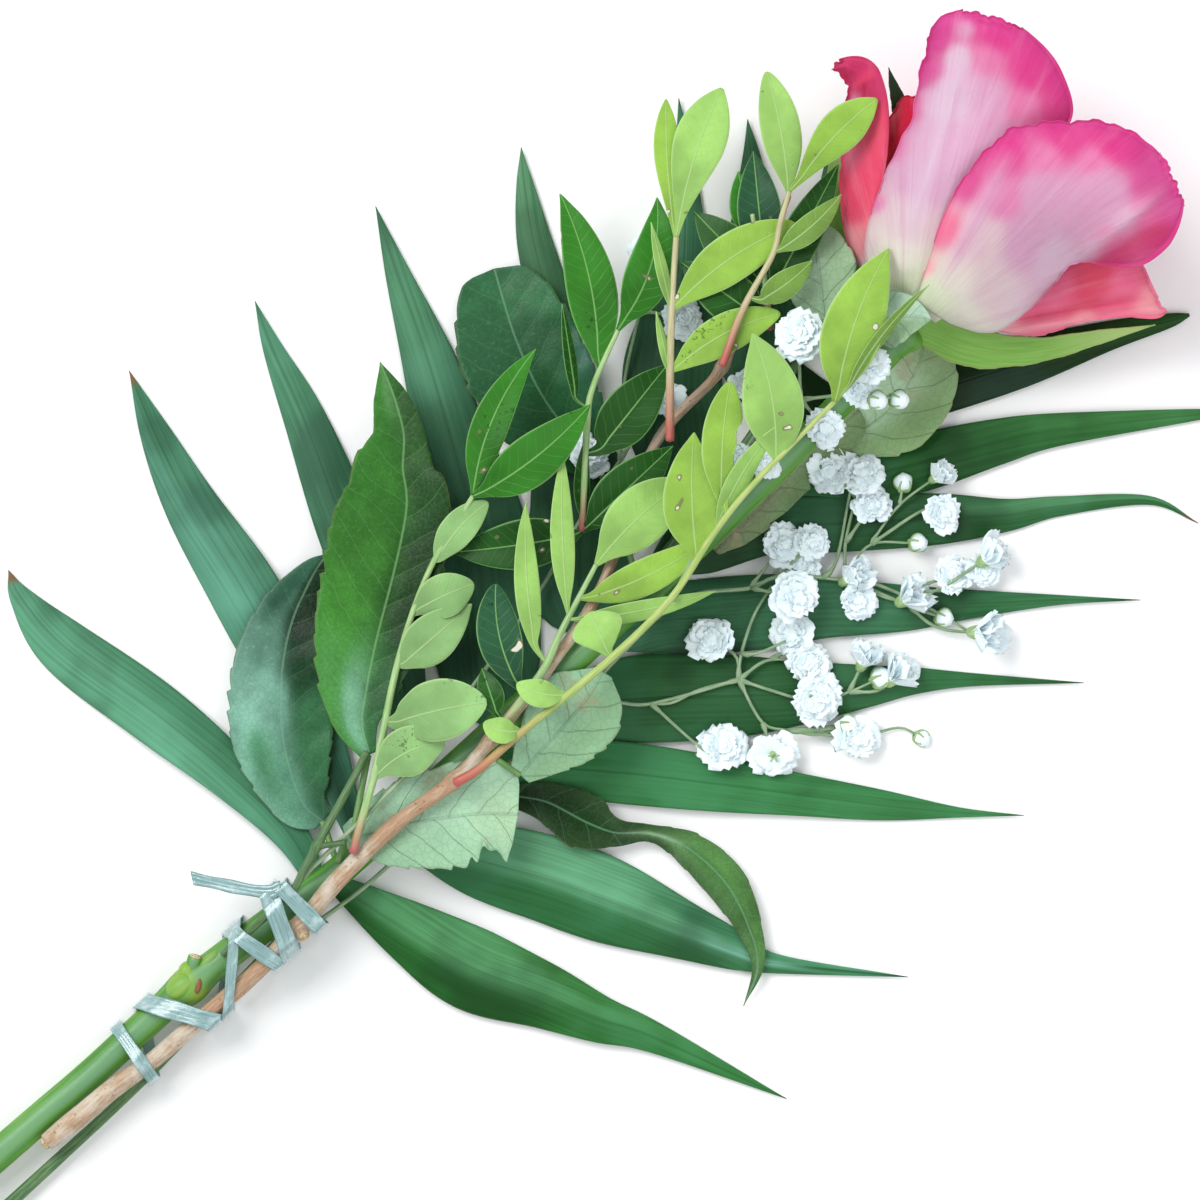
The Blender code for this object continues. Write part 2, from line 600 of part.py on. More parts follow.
# Pistache leaves: colour, stalk, then each leaflet's base, tip, width px, bend, roll and outline
PISTACHE = {
    "back": (LEAF_GREEN, [(770, 330, 0.7), (762, 262, 0.6), (752, 215, 0.5)], [
        ((754, 240), (738, 172), 34, 0, 0, POINTED), ((764, 262), (753, 152), 44, 0, 0, POINTED),
        ((764, 285), (694, 212), 46, 0, 0, POINTED), ((768, 325), (680, 262), 50, 0, 0, POINTED),
        ((768, 300), (838, 165), 40, 0, 0, POINTED)]),
    "f": (LEAF_GREEN, [(582, 531, 0.7), (587, 426, 0.7), (593, 387, 0.6), (618, 330, 0.5)], [
        ((598, 369), (560, 194), 50, -0.06, 0.1, POINTED), ((577, 407), (562, 304), 12, 0, 0.8, POINTED),
        ((619, 327), (657, 198), 46, -0.1, 0, POINTED), ((595, 456), (668, 364), 52, 0, 0, POINTED),
        ((584, 530), (673, 446), 50, 0, 0, POINTED), ((584, 525), (587, 436), 16, 0.04, 0.5, POINTED),
        ((583, 533), (452, 552), 50, 0.02, 0, POINTED)]),
    "e": (LIME, [(722, 366, 0.8), (743, 309, 0.7), (772, 256, 0.6), (780, 223, 0.6), (789, 192, 0.5)], [
        ((788, 194), (766, 73), 40, -0.03, 0, BLUNT), ((791, 194), (876, 101), 42, 0.05, 0.1, OBOVATE),
        ((775, 253), (841, 195), 26, -0.05, 0, POINTED), ((755, 303), (812, 261), 28, -0.05, 0.1, POINTED)]),
    "d": (LIME, [(670, 441, 0.9), (670, 368, 0.8), (672, 305, 0.7), (676, 238, 0.6)], [
        ((675, 240), (666, 100), 26, 0.02, 0.2, OBOVATE), ((677, 236), (722, 89), 52, 0.04, 0, OBOVATE),
        ((673, 309), (796, 225), 48, 0.06, 0.1, BLUNT), ((671, 373), (780, 314), 40, 0.07, 0, BLUNT),
        ((671, 311), (651, 223), 12, 0, 0.9, POINTED), ((670, 377), (656, 312), 10, 0, 0.9, POINTED)]),
    "c": (LIME, [(492, 738, 0.9), (540, 675, 0.8), (560, 634, 0.7), (575, 605, 0.6), (596, 565, 0.5)], [
        ((598, 562), (684, 482), 58, 0.04, 0, BLUNT), ((581, 600), (716, 534), 36, -0.05, 0, POINTED),
        ((570, 620), (716, 591), 20, -0.03, 0.4, POINTED), ((568, 615), (563, 452), 24, 0.02, 0.3, POINTED),
        ((537, 658), (526, 502), 25, 0.03, 0.3, POINTED), ((521, 690), (496, 584), 44, 0.08, 0.1, BLUNT),
        ((498, 716), (482, 668), 26, 0, 0, POINTED)]),
    "b": (LIME, [(455, 783, 1.0), (480, 768, 0.9), (524, 730, 0.8), (610, 659, 0.8), (671, 598, 0.7),
                 (715, 531, 0.7), (757, 480, 0.6), (834, 402, 0.5)], [
        ((522, 731), (484, 722), 26, 0.1, 0.3, BLUNT), ((567, 694), (517, 683), 28, 0.1, 0, BLUNT),
        ((610, 657), (590, 612), 52, 0, 0, OBOVATE), ((697, 560), (698, 433), 54, 0.03, 0, BLUNT),
        ((722, 508), (730, 382), 42, 0.03, 0.1, BLUNT), ((770, 467), (750, 336), 58, -0.03, 0, BLUNT),
        ((715, 531), (778, 425), 22, 0.05, 0.4, POINTED), ((836, 401), (888, 250), 60, 0.05, 0.1, POINTED),
        ((843, 397), (928, 286), 12, 0.05, 0.5, POINTED)]),
    "a": (LIME, [(353, 853, 0.9), (359, 829, 0.8), (376, 768, 0.8), (399, 658, 0.7), (430, 569, 0.6),
                 (473, 496, 0.5)], [
        ((376, 776), (445, 742), 50, 0.1, 0, BLUNT), ((388, 725), (487, 702), 62, 0.03, 0.1, BLUNT),
        ((398, 668), (472, 604), 48, 0, 0, POINTED), ((412, 613), (474, 584), 44, 0.03, 0, BLUNT),
        ((434, 565), (488, 502), 34, 0.06, 0, BLUNT), ((473, 495), (536, 349), 37, 0.075, 0, POINTED),
        ((475, 496), (590, 405), 50, -0.05, 0.1, POINTED)]),
}


def pistache(letter):
    colour, rachis, leaflets = PISTACHE[letter]
    blades = [(lens(base, tip, width, bend, outline), 0.14, roll)
              for base, tip, width, bend, roll, outline in leaflets]
    return frond("pistache_leaf_" + letter, rachis, blades, colour, slope=0.4, count=8)


# Gypsophila: stems of (u, v) points, the index of the stem each grows from, and its flower's size

def floret(middle, lean, size):
    """A double flower: a narrow calyx below layers of ruffled petals."""
    loops = []
    count = 10
    for height, reach, ruffle in ((-0.5, 0.22, 0), (0.0, 1.0, 0.12), (0.5, 0.66, 0.16)):
        ring = []
        for i in range(count):
            turn = 2 * math.pi * i / count
            out = size * reach * (1 + ruffle * (1 if i % 2 else -1))
            z = size * (height + (0.08 if i % 2 and ruffle else 0))
            ring.append([middle[0] + out * math.cos(turn) + lean[0] * z,
                         middle[1] + out * math.sin(turn) + lean[1] * z, middle[2] + z])
        loops.append(ring)
    return rings(loops)


def bud(middle, size):
    return ball(np.array(middle), (size * 1.2, size, size), (0.6, 0.6, 0.5), 5, 4)


def nearest(line, place):
    return int(np.linalg.norm(line - place, axis=1).argmin())


def spray(name, stems, radius=0.45):
    """One gypsophila spray: later stems grow from earlier ones."""
    lines, need = [], []
    for way, parent, flower in stems:
        line = on_plan(smooth(way, len(way)) if len(way) > 2 else np.array(way, float))
        if parent is not None:
            line[0] = lines[parent][nearest(lines[parent], line[0])]
        low = stalk_needs(line, radius)
        if flower:
            turn = np.linspace(0, 2 * math.pi, 13)
            size = abs(flower)
            disc = np.concatenate([line[-1] + np.stack([np.cos(turn), np.sin(turn)], 1) * size * share
                                   for share in (0.35, 0.7, 1.1)])
            lift = GAP + 0.1 if flower > 0 else size * 1.1 + GAP
            low[-1] = max(low[-1], PILE.under(disc).max() + lift)
        lines.append(line)
        need.append(low)
    heights = [None] * len(stems)
    for k in range(len(stems) - 1, -1, -1):
        heights[k], _ = eased(need[k], lines[k], 0.45)
        parent = stems[k][1]
        if parent is not None:
            at = nearest(lines[parent], lines[k][0])
            need[parent][at] = max(need[parent][at], heights[k][0])
    pieces = []
    for k, (_, parent, flower) in enumerate(stems):
        if parent is not None:
            heights[k][0] = heights[parent][nearest(lines[parent], lines[k][0])]
        points = np.column_stack([lines[k], heights[k]])
        if flower and flower > 0:
            points[-1, 2] += 0.25 * flower
            lean = (points[-1] - points[-2])[:2]
            lean = lean / max(np.linalg.norm(lean), 1e-6) * 0.3
            pieces.append(floret(points[-1] + [0, 0, 0.3 * flower], lean, flower))
        elif flower:
            pieces.append(bud(points[-1], -flower))
        pieces.append(tube(points, [radius] * len(points), 0))
    return settle(fuse(name, pieces[::-1], WHITE))


def gypsophila_back():
    spray("gypsophila_back", [
        ([(300, 880), (400, 780), (470, 690), (540, 590), (587, 508), (620, 460)], None, None),
        ([(587, 508), (589, 452)], 0, 4.2),
        ([(620, 460), (640, 430), (666, 395)], 0, 4.2),
        ([(620, 460), (625, 380), (640, 310), (652, 252)], 0, 4.2),
        ([(640, 310), (685, 317)], 3, 4.2),
    ])


def gypsophila_front():
    big, small = 4.6, 4.0
    spray("gypsophila_front", [
        ([(232, 998), (300, 936), (368, 884), (456, 804), (530, 748), (600, 705), (651, 704), (739, 680)],
         None, None),
        ([(651, 704), (707, 752), (724, 745)], 0, big),
        ([(739, 680), (763, 723), (790, 731)], 0, None),
        ([(763, 723), (774, 757)], 2, big),
        ([(790, 731), (861, 739)], 2, big),
        ([(739, 680), (801, 700), (817, 704)], 0, big),
        ([(739, 680), (736, 656), (709, 639)], 0, big),
        ([(739, 680), (769, 660), (811, 664)], 0, big),
        ([(769, 660), (811, 640), (790, 634)], 7, small),
        ([(801, 700), (825, 690)], 5, small),
        ([(790, 731), (849, 725)], 2, -1.1),
        ([(861, 739), (900, 728), (923, 739)], 4, -1.0),
        ([(817, 704), (850, 692), (882, 678)], 5, -1.7),
        ([(850, 692), (869, 650)], 12, 3.4),
        ([(850, 692), (880, 690), (903, 669)], 12, 3.4),
    ])


def gypsophila_side():
    big, small = 4.5, 3.8
    spray("gypsophila_side", [
        ([(560, 722), (620, 655), (683, 599), (750, 588), (779, 577), (846, 581), (908, 605), (945, 618)],
         None, -1.3),
        ([(750, 588), (798, 597)], 0, big),
        ([(750, 588), (785, 543)], 0, big),
        ([(750, 588), (801, 565)], 0, small),
        ([(779, 577), (814, 541)], 0, small),
        ([(846, 581), (860, 602)], 0, small),
        ([(846, 581), (860, 573)], 0, small),
        ([(846, 581), (900, 592), (924, 583)], 0, big),
        ([(900, 592), (956, 575)], 7, small),
        ([(900, 592), (940, 590), (986, 570)], 7, 3.2),
        ([(940, 590), (999, 551)], 9, 3.6),
        ([(908, 605), (940, 628), (994, 634)], 0, 3.6),
        ([(846, 581), (870, 545), (919, 543)], 0, -1.2),
        ([(870, 545), (924, 510), (945, 514)], 12, small),
        ([(870, 545), (900, 505), (945, 471)], 12, 2.6),
        ([(846, 581), (846, 543), (857, 495), (862, 471)], 0, big),
        ([(846, 543), (873, 503)], 15, small),
        ([(857, 495), (828, 471)], 15, big),
        ([(900, 505), (904, 482)], 14, -1.3),
    ])


def gypsophila_upper():
    small = 4.2
    spray("gypsophila_upper", [
        ([(672, 600), (712, 520), (735, 470), (760, 430), (800, 400)], None, None),
        ([(735, 470), (741, 458)], 0, 3.4),
        ([(735, 470), (767, 464)], 0, 3.0),
        ([(760, 430), (746, 382)], 0, 3.4),
        ([(800, 400), (798, 332)], 0, 4.8),
        ([(800, 400), (826, 429)], 0, 4.0),
        ([(800, 400), (840, 395), (861, 390)], 0, 3.6),
        ([(840, 395), (871, 362)], 6, small),
        ([(840, 395), (877, 401)], 6, -1.1),
        ([(861, 390), (899, 400)], 6, -1.1),
    ])


def gypsophila_cut_stem():
    """The trimmed stem that stands out of the tie on the left of the rose's."""
    main = np.array([(222, 955, 0.8), (262, 920, 0.8), (291, 893, 0.8), (305, 868, 0.85), (319, 842, 0.85),
                     (351, 783, 0.8), (367, 752, 0.8)])
    stub = np.array([(316, 846, 0.6), (334, 844, 0.6), (345, 842, 0.6)])
    joint = 4
    line = on_plan(main)
    heights, _ = eased(stalk_needs(line, main[:, 2].max()), line, 0.3)
    pieces = [tube(np.column_stack([line, heights]), main[:, 2])]
    line = on_plan(stub)
    rising, _ = eased(stalk_needs(line, main[:, 2].max()), line, 0.3)
    pieces.append(tube(np.column_stack([line, np.maximum(rising, heights[joint])]), stub[:, 2]))
    return settle(fuse("gypsophila_cut_stem", pieces, PALE_GREEN))


# The tie, a flat string wound zigzag round the stems

TIE_HALF = 0.3
TIE_LOW = 0.45
TIE_LAP = 6.0
TIE_CORNER = TIE_HALF + 0.1
# Each turn: two places on its upper strand, left then right, and its width in mm
STRANDS = [((119, 1032), (150, 1076), 2.6), ((150, 1004), (212, 1022), 4.4), ((234, 938), (228, 1010), 3.0),
           ((238, 936), (280, 966), 3.2), ((273, 905), (290, 952), 4.2), ((290, 896), (317, 924), 3.2)]
CORNERS = ((-1, -1), (1, -1), (1, 1), (-1, 1))


def ribbon(points, width):
    """A flat closed band through plan points, wide along the bundle's own direction."""
    points = np.asarray(points, float)
    along = np.array([*BUNDLE, 0.0])
    ahead = np.gradient(points, axis=0)
    normal = np.cross(along, ahead)
    normal /= np.linalg.norm(normal, axis=1, keepdims=True)
    loops = []
    for place, out, wide in zip(points, normal, np.broadcast_to(width, len(points))):
        loops.append([place + along * wide / 2 * a + out * TIE_HALF * b for a, b in CORNERS])
    return rings(loops)


def tie():
    """Loops round the bundle, taut over it and flat below, and one free end."""
    loops = []
    for start, end, width in STRANDS:
        first, last = np.array(plan(*start)), np.array(plan(*end))
        span = np.linalg.norm(last - first)
        ahead = (last - first) / span
        line = first + ahead * np.arange(-TIE_LAP, span + TIE_LAP, 0.5)[:, None]
        high = np.max([PILE.under(line + BUNDLE * width / 2 * s) for s in np.linspace(-1.1, 1.1, 9)], axis=0)
        inside = np.flatnonzero(high > 1.6)
        line = line[inside[0]:inside[-1] + 1]
        need = high[inside[0]:inside[-1] + 1] + GAP + TIE_CORNER
        last = len(line) - 1
        taut = np.array([max(need[i] if i == j else (need[i] * (j - m) + need[j] * (m - i)) / (j - i)
                             for i in range(m + 1) for j in range(m, last + 1)) for m in range(last + 1)])
        pick = sorted({0, 1, last // 5, 2 * last // 5, 3 * last // 5, 4 * last // 5, last - 1, last})
        loops.append((np.column_stack([line, taut])[pick], ahead * TIE_CORNER, width))
    pieces = []
    for k, (top, out, width) in enumerate(loops):
        corner_left, corner_right = top[0] - [*out, 0.3], top[-1] + [*out, -0.3]
        foot_left, foot_right = [*corner_left[:2], TIE_LOW], [*corner_right[:2], TIE_LOW]
        over = np.vstack([foot_left, corner_left, top[1:-1], corner_right, foot_right])
        pieces.append(ribbon(over, width))
        onward = loops[min(k + 1, len(loops) - 1)]
        landing = np.array([*(onward[0][0][:2] - onward[1]), TIE_LOW])
        pieces.append(ribbon(np.vstack([foot_right, (foot_right + landing) / 2, landing]), width))
    start = loops[-1][0][1]
    tail = np.array([start, [*plan(268, 892), start[2] - 0.5], [*plan(235, 887), start[2] - 1.5],
                     [*plan(192, 878), start[2] - 2.5]])
    aside, upward = np.array([-0.28, 1.4, 0]), np.array([0, 0, TIE_HALF])
    pieces.append(rings([[place + aside * a + upward * b for a, b in CORNERS] for place in tail]))
    return fuse("tie_string", pieces, STRING_BLUE, "MANIFOLD")


# Lay everything, from the lowest piece to the highest

# Room under the stems for the tie's lower strands
TIE_SPOTS = [(113, 1048), (153, 1080), (150, 1000), (222, 1010), (237, 935), (279, 965), (268, 914),
             (313, 930)]
TIE_ROOM = 1.15
for spot in TIE_SPOTS:
    near = np.array(plan(*spot)) + np.random.default_rng(3).uniform(-9, 9, (4000, 2))
    PILE.raise_to(near, TIE_ROOM)

palm()
rose_leaf("rose_leaf_dark", [(322, 822, 22), (300, 800, 62), (283, 745, 100), (280, 685, 104),
                             (290, 625, 80),
                             (312, 575, 36), (327, 553, 0)], [(322, 822), (338, 868)], DARK_GREEN)
rose_leaf("rose_leaf_high", [(600, 470, 20), (572, 440, 70), (530, 385, 118), (500, 335, 118),
                             (480, 295, 86),
                             (476, 270, 20)], [(600, 470), (640, 585)], DARK_GREEN)
rose_leaf("rose_leaf_curled", [(500, 795, 16), (545, 802, 40), (585, 822, 58), (615, 833, 30),
                               (652, 834, 18),
                               (690, 850, 36), (727, 885, 42), (750, 930, 26), (758, 968, 12),
                               (744, 1007, 0)],
          [(500, 795), (470, 770)], DARK_GREEN, teeth=12)
rose_leaf("rose_leaf_near_bloom", [(835, 440, 24), (860, 432, 60), (890, 410, 96), (915, 375, 92),
                                   (925, 345, 60), (930, 318, 20)], [(835, 440), (808, 446)], PALE_GREEN)
gypsophila_front()
gypsophila_side()
lay_fixed(rose_stem())
rose_leaf("rose_leaf_pale_a", [(345, 838, 30), (385, 830, 76), (430, 820, 100), (475, 814, 110),
                               (506, 814, 104), (516, 815, 92)], [(345, 838),
                                                                  (338, 862)], PALE_GREEN, teeth=9)
rose_leaf("rose_leaf_pale_b", [(520, 775, 24), (540, 752, 60), (565, 725, 90), (588, 697, 84),
                               (603, 672, 20)],
          [(520, 775), (498, 760)], PALE_GREEN, teeth=8)
rose_leaf("rose_leaf_mid", [(368, 755, 20), (362, 720, 60), (362, 670, 100), (378, 590, 122),
                            (390, 500, 100),
                            (388, 430, 60), (380, 362, 0)], [(368, 755), (352, 838)], LEAF_GREEN, teeth=13)
rose_leaf("rose_leaf_pale_c", [(824, 330, 20), (822, 300, 60), (818, 265, 76), (815, 240, 50),
                               (806, 222, 0)],
          [(824, 330), (835, 395)], PALE_GREEN, teeth=8)
lay_fixed(bloom())
rose_leaf("rose_leaf_folded", [(864, 324, 30), (885, 320, 58), (905, 317, 46), (920, 318, 24),
                               (931, 320, 0)],
          [(864, 324), (862, 350)], PALE_GREEN, teeth=5, sink=0.8)
gypsophila_back()
twig()
gypsophila_cut_stem()
for letter in ("back", "f", "c", "d", "e"):
    pistache(letter)
gypsophila_upper()
for letter in ("b", "a"):
    pistache(letter)
tie()
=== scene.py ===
"""The visual model of a single rose bouquet, over its CAD frame.

Shapes are laid out as seen from above in units called px (0.2 mm each, u to the right, v
downward), as in the CAD source. Each blade, stalk and flower takes its height from its own CAD
solid. Every vertex carries shader coordinates: "leaf" is the share along its piece, the place
across it from -1 to 1 and a number of its own; "size" is mm along, mm across and a mark.
"""

import math

import bpy
import numpy as np
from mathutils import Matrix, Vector
from mathutils.bvhtree import BVHTree

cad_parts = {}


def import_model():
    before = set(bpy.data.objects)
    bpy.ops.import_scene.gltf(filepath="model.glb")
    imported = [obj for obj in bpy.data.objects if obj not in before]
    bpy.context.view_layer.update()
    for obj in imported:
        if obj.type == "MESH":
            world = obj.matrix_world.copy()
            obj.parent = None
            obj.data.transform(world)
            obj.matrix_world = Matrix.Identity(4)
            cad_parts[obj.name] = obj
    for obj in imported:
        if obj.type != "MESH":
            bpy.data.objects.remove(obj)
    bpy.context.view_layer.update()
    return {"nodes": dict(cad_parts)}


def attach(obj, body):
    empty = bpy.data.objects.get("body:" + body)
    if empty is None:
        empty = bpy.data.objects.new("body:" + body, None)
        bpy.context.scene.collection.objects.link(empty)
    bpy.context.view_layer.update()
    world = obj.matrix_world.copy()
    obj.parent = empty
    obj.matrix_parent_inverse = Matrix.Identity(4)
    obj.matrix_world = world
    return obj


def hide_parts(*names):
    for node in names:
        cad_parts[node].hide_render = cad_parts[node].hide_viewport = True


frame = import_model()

PX = 0.2  # mm
PICTURE = 1200  # px, the side of the square that is looked at
TURN = math.radians(42)  # of the frame against the plan
CENTRE = (75.417, 78.514)  # the frame's origin in the plan, mm
FLOOR = 0.15  # the surface's height in the plan, mm
ABOVE = 200  # mm, higher than anything
MM = 0.001
RANDOM = np.random.default_rng(11)


# Placing

def plan(u, v):
    """Plan x and y in mm, from px."""
    return u * PX, (PICTURE - v) * PX


def at(u, v, height):
    """A place over the plan, in mm."""
    return (*plan(u, v), height)


def planned(points):
    """The plan places of rows that start with u and v."""
    return np.stack(plan(points[:, 0], points[:, 1]), 1)


def packed(*values):
    """Arrays of one shape, side by side in a last axis."""
    return np.stack(np.broadcast_arrays(*values), -1)


def away(line, u, v):
    """How far each point of a line is from a place, in mm seen from above."""
    return np.linalg.norm(line[:, :2] - plan(u, v), axis=1)


def around(count):
    """Angles spread evenly over a turn."""
    return np.linspace(0, 2 * math.pi, count, endpoint=False)


def world(points):
    """Places in the frame, in metres, from plan x, plan y and height in mm."""
    points = np.asarray(points, float)
    x, y = points[..., 0] - CENTRE[0], points[..., 1] - CENTRE[1]
    c, s = math.cos(TURN), math.sin(TURN)
    return np.stack([x * c + y * s, y * c - x * s, points[..., 2] - FLOOR], -1) * MM


def unit(vectors):
    return vectors / np.maximum(np.linalg.norm(vectors, axis=-1, keepdims=True), 1e-9)


def smooth(points, count):
    """Points spread evenly on a curve through the given ones."""
    points = np.asarray(points, float)
    ends = np.vstack([2 * points[0] - points[1], points, 2 * points[-1] - points[-2]])
    fine = []
    for k in range(1, len(ends) - 2):
        a, b, c, d = ends[k - 1:k + 3]
        t = np.linspace(0, 1, 16, endpoint=False)[:, None]
        fine.append(0.5 * (2 * b + (c - a) * t + (2 * a - 5 * b + 4 * c - d) * t ** 2
                           + (3 * b - a - 3 * c + d) * t ** 3))
    fine = np.vstack(fine + [points[-1:]])
    run = run_of(fine[:, :2])
    even = np.linspace(0, run[-1], count)
    return np.stack([np.interp(even, run, fine[:, k]) for k in range(points.shape[1])], 1)


def run_of(line):
    """The length along a line up to each of its points."""
    return np.concatenate([[0], np.cumsum(np.linalg.norm(np.diff(line, axis=0), axis=1))])


def across_of(line):
    """The unit direction to the left of a plan line, at each of its points."""
    ahead = unit(np.gradient(line[:, :2], axis=0))
    return np.stack([-ahead[:, 1], ahead[:, 0]], 1)


def averaged(values, reach):
    """A row of numbers, each the mean of its neighbours within reach."""
    padded = np.pad(values, reach, mode="edge")
    return np.convolve(padded, np.ones(2 * reach + 1) / (2 * reach + 1), "valid")


class Solid:
    """A CAD node, asked how high its layers lie over a plan point."""

    def __init__(self, name):
        mesh = frame["nodes"][name].data
        places = [vertex.co for vertex in mesh.vertices]
        self.tree = BVHTree.FromPolygons(places, [face.vertices[:] for face in mesh.polygons])

    def layers(self, x, y):
        """The bottom and top of each layer there, highest first, in mm."""
        start, found = Vector(world([x, y, ABOVE])), []
        while len(found) < 20:
            hit = self.tree.ray_cast(start, Vector((0, 0, -1)))[0]
            if hit is None:
                break
            found.append(hit.z * 1000 + FLOOR)
            start = Vector((start.x, start.y, hit.z - 2e-6))
        return [(found[i + 1], found[i]) for i in range(0, len(found) - 1, 2)]

    def middle(self, x, y, near=None):
        """The middle height of the layer nearest to a height, or of the highest one."""
        middles = [(low + top) / 2 for low, top in self.layers(x, y)]
        if not middles:
            return None
        return middles[0] if near is None else min(middles, key=lambda z: abs(z - near))

    def along(self, line, near=None, skip=0, ease=2):
        """Heights along a plan line, followed from its last point back to its first."""
        heights = np.full(len(line), np.nan)
        for k in range(len(line) - 1 - skip, -1, -1):
            z = self.middle(line[k, 0], line[k, 1], near)
            if z is not None and (near is None or abs(z - near) < 4):
                heights[k] = near = z
        known = np.flatnonzero(~np.isnan(heights))
        if not len(known):
            return np.full(len(line), near or 1.0)
        return averaged(np.interp(np.arange(len(line)), known, heights[known]), ease)


# Meshes

class Build:
    """Gathers shells and tubes into one mesh with its shader coordinates."""

    def __init__(self):
        self.points, self.faces, self.kinds = [], [], []
        self.leaf, self.size, self.tint = [], [], []
        self.count = 0

    def add(self, points, faces, kind, leaf, size, tint):
        """faces and kind are lists of arrays of faces and the material index of each."""
        for group, number in zip(faces, kind):
            group = np.asarray(group) + self.count
            self.faces += group.tolist()
            self.kinds.append(np.full(len(group), number))
        for rows, values in ((self.points, points), (self.leaf, leaf), (self.size, size), (self.tint, tint)):
            rows.append(values)
        self.count += len(points)

    def finish(self, name, materials, slot, node):
        """Makes the piece that stands for a CAD node."""
        mesh = bpy.data.meshes.new(name)
        points = np.vstack(self.points)
        points[:, 2] = np.maximum(points[:, 2], FLOOR + 0.02)
        mesh.from_pydata(world(points).tolist(), [], self.faces)
        mesh.polygons.foreach_set("material_index", np.concatenate(self.kinds).astype(np.int32))
        mesh.polygons.foreach_set("use_smooth", np.ones(len(mesh.polygons), bool))
        for label, values in (("leaf", self.leaf), ("size", self.size), ("tint", self.tint)):
            layer = mesh.attributes.new(label, "FLOAT_VECTOR", "POINT")
            layer.data.foreach_set("vector", np.vstack(values).astype(np.float32).ravel())
        mesh.update()
        for look in materials:
            mesh.materials.append(look)
        piece = bpy.data.objects.new(name, mesh)
        bpy.context.scene.collection.objects.link(piece)
        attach(piece, "root")
        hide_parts(node)


def shell(build, grid, half, leaf, size, kinds=(0, 0), tint=0.0, flip=False):
    """A closed thin blade of half thicknesses, with the three numbers of its leaf and size coordinates.

    The grid's rows run ahead and its columns to the left, or to the right if it is to be flipped.
    """
    rows, cols = grid.shape[:2]
    half = np.broadcast_to(half, (rows, cols))
    leaf, size, tint = (np.broadcast_to(a, grid.shape) for a in (packed(*leaf), packed(*size), tint))
    if flip:
        grid, half, leaf, size, tint = (a[:, ::-1] for a in (grid, half, leaf, size, tint))
    normal = unit(np.cross(np.gradient(grid, axis=0), np.gradient(grid, axis=1)))
    points = np.concatenate([(grid + normal * half[..., None]).reshape(-1, 3),
                             (grid - normal * half[..., None]).reshape(-1, 3)])
    index = np.arange(rows * cols).reshape(rows, cols)
    upper = np.stack([index[:-1, :-1], index[1:, :-1], index[1:, 1:], index[:-1, 1:]], -1).reshape(-1, 4)
    back = rows * cols
    rim = np.concatenate([index[:, 0], index[-1, 1:], index[-2::-1, -1], index[0, -2:0:-1]])
    after = np.roll(rim, -1)
    side = np.stack([after, rim, rim + back, after + back], 1)
    twice = [np.concatenate([a.reshape(-1, 3)] * 2) for a in (leaf, size, tint)]
    build.add(points, [upper, upper[:, ::-1] + back, side], [kinds[0], kinds[1], kinds[1]], *twice)


def tube(build, line, radius, sides=10, kind=0, ident=0.0, mark=0.0):
    """A round stem through plan points, its ends closed and slightly domed."""
    line = np.asarray(line, float)
    radius = np.broadcast_to(np.asarray(radius, float).reshape(-1, 1) if np.ndim(radius) == 1 else radius,
                             (len(line), sides))
    ahead = unit(np.gradient(line, axis=0))
    left = unit(np.cross([0, 0, 1.0], ahead) + 1e-6)
    up = np.cross(ahead, left)
    turn = around(sides)
    ring = line[:, None] + radius[..., None] * (left[:, None] * np.cos(turn)[:, None]
                                                + up[:, None] * np.sin(turn)[:, None])
    dome = 0.35 * radius.mean(1)
    caps = np.stack([line[0] - ahead[0] * dome[0], line[-1] + ahead[-1] * dome[-1]])
    n = len(line)
    k, i = np.meshgrid(np.arange(n - 1), np.arange(sides), indexing="ij")
    a, b = k * sides + i, k * sides + (i + 1) % sides
    wall = np.stack([a, b, b + sides, a + sides], -1).reshape(-1, 4)
    i = np.arange(sides)
    start = np.stack([np.full(sides, n * sides), (i + 1) % sides, i], 1)
    last = (n - 1) * sides
    end = np.stack([np.full(sides, n * sides + 1), last + i, last + (i + 1) % sides], 1)
    run, mark = run_of(line)[:, None], np.broadcast_to(mark, n)[:, None]
    leaf = packed(run / run[-1], turn / math.pi - 1, ident)
    size = packed(run, turn * radius.mean(1)[:, None], mark)
    leaf, size = (np.vstack([a.reshape(-1, 3), a[0, 0], a[-1, 0]]) for a in (leaf, size))
    points = np.vstack([ring.reshape(-1, 3), caps])
    build.add(points, [wall, start, end], [kind] * 3, leaf, size, np.zeros(points.shape))


# Leaf blades

def vein_gap(along, across, spacing, slant, curve):
    """Distance in mm from the nearest side vein of a leaf."""
    reach = np.abs(across)
    phase = (along - slant * reach - curve * reach ** 2) / spacing + 0.5 * (across > 0)
    return np.abs((phase + 0.5) % 1 - 0.5) * spacing


def blended(place, anchors):
    """Colours at (share, across) places, from a few anchors of share, across, reach and colour."""
    weights, colours = [], []
    for share, across, reach, colour in anchors:
        distance = ((place[..., 0] - share) ** 2 + ((place[..., 1] - across) / 2) ** 2) / reach ** 2
        weights.append(1 / (0.03 + distance) ** 2)
        colours.append(colour)
    weights = np.stack(weights, -1)
    return (weights[..., None] * np.array(colours)).sum(-2) / weights.sum(-1)[..., None]


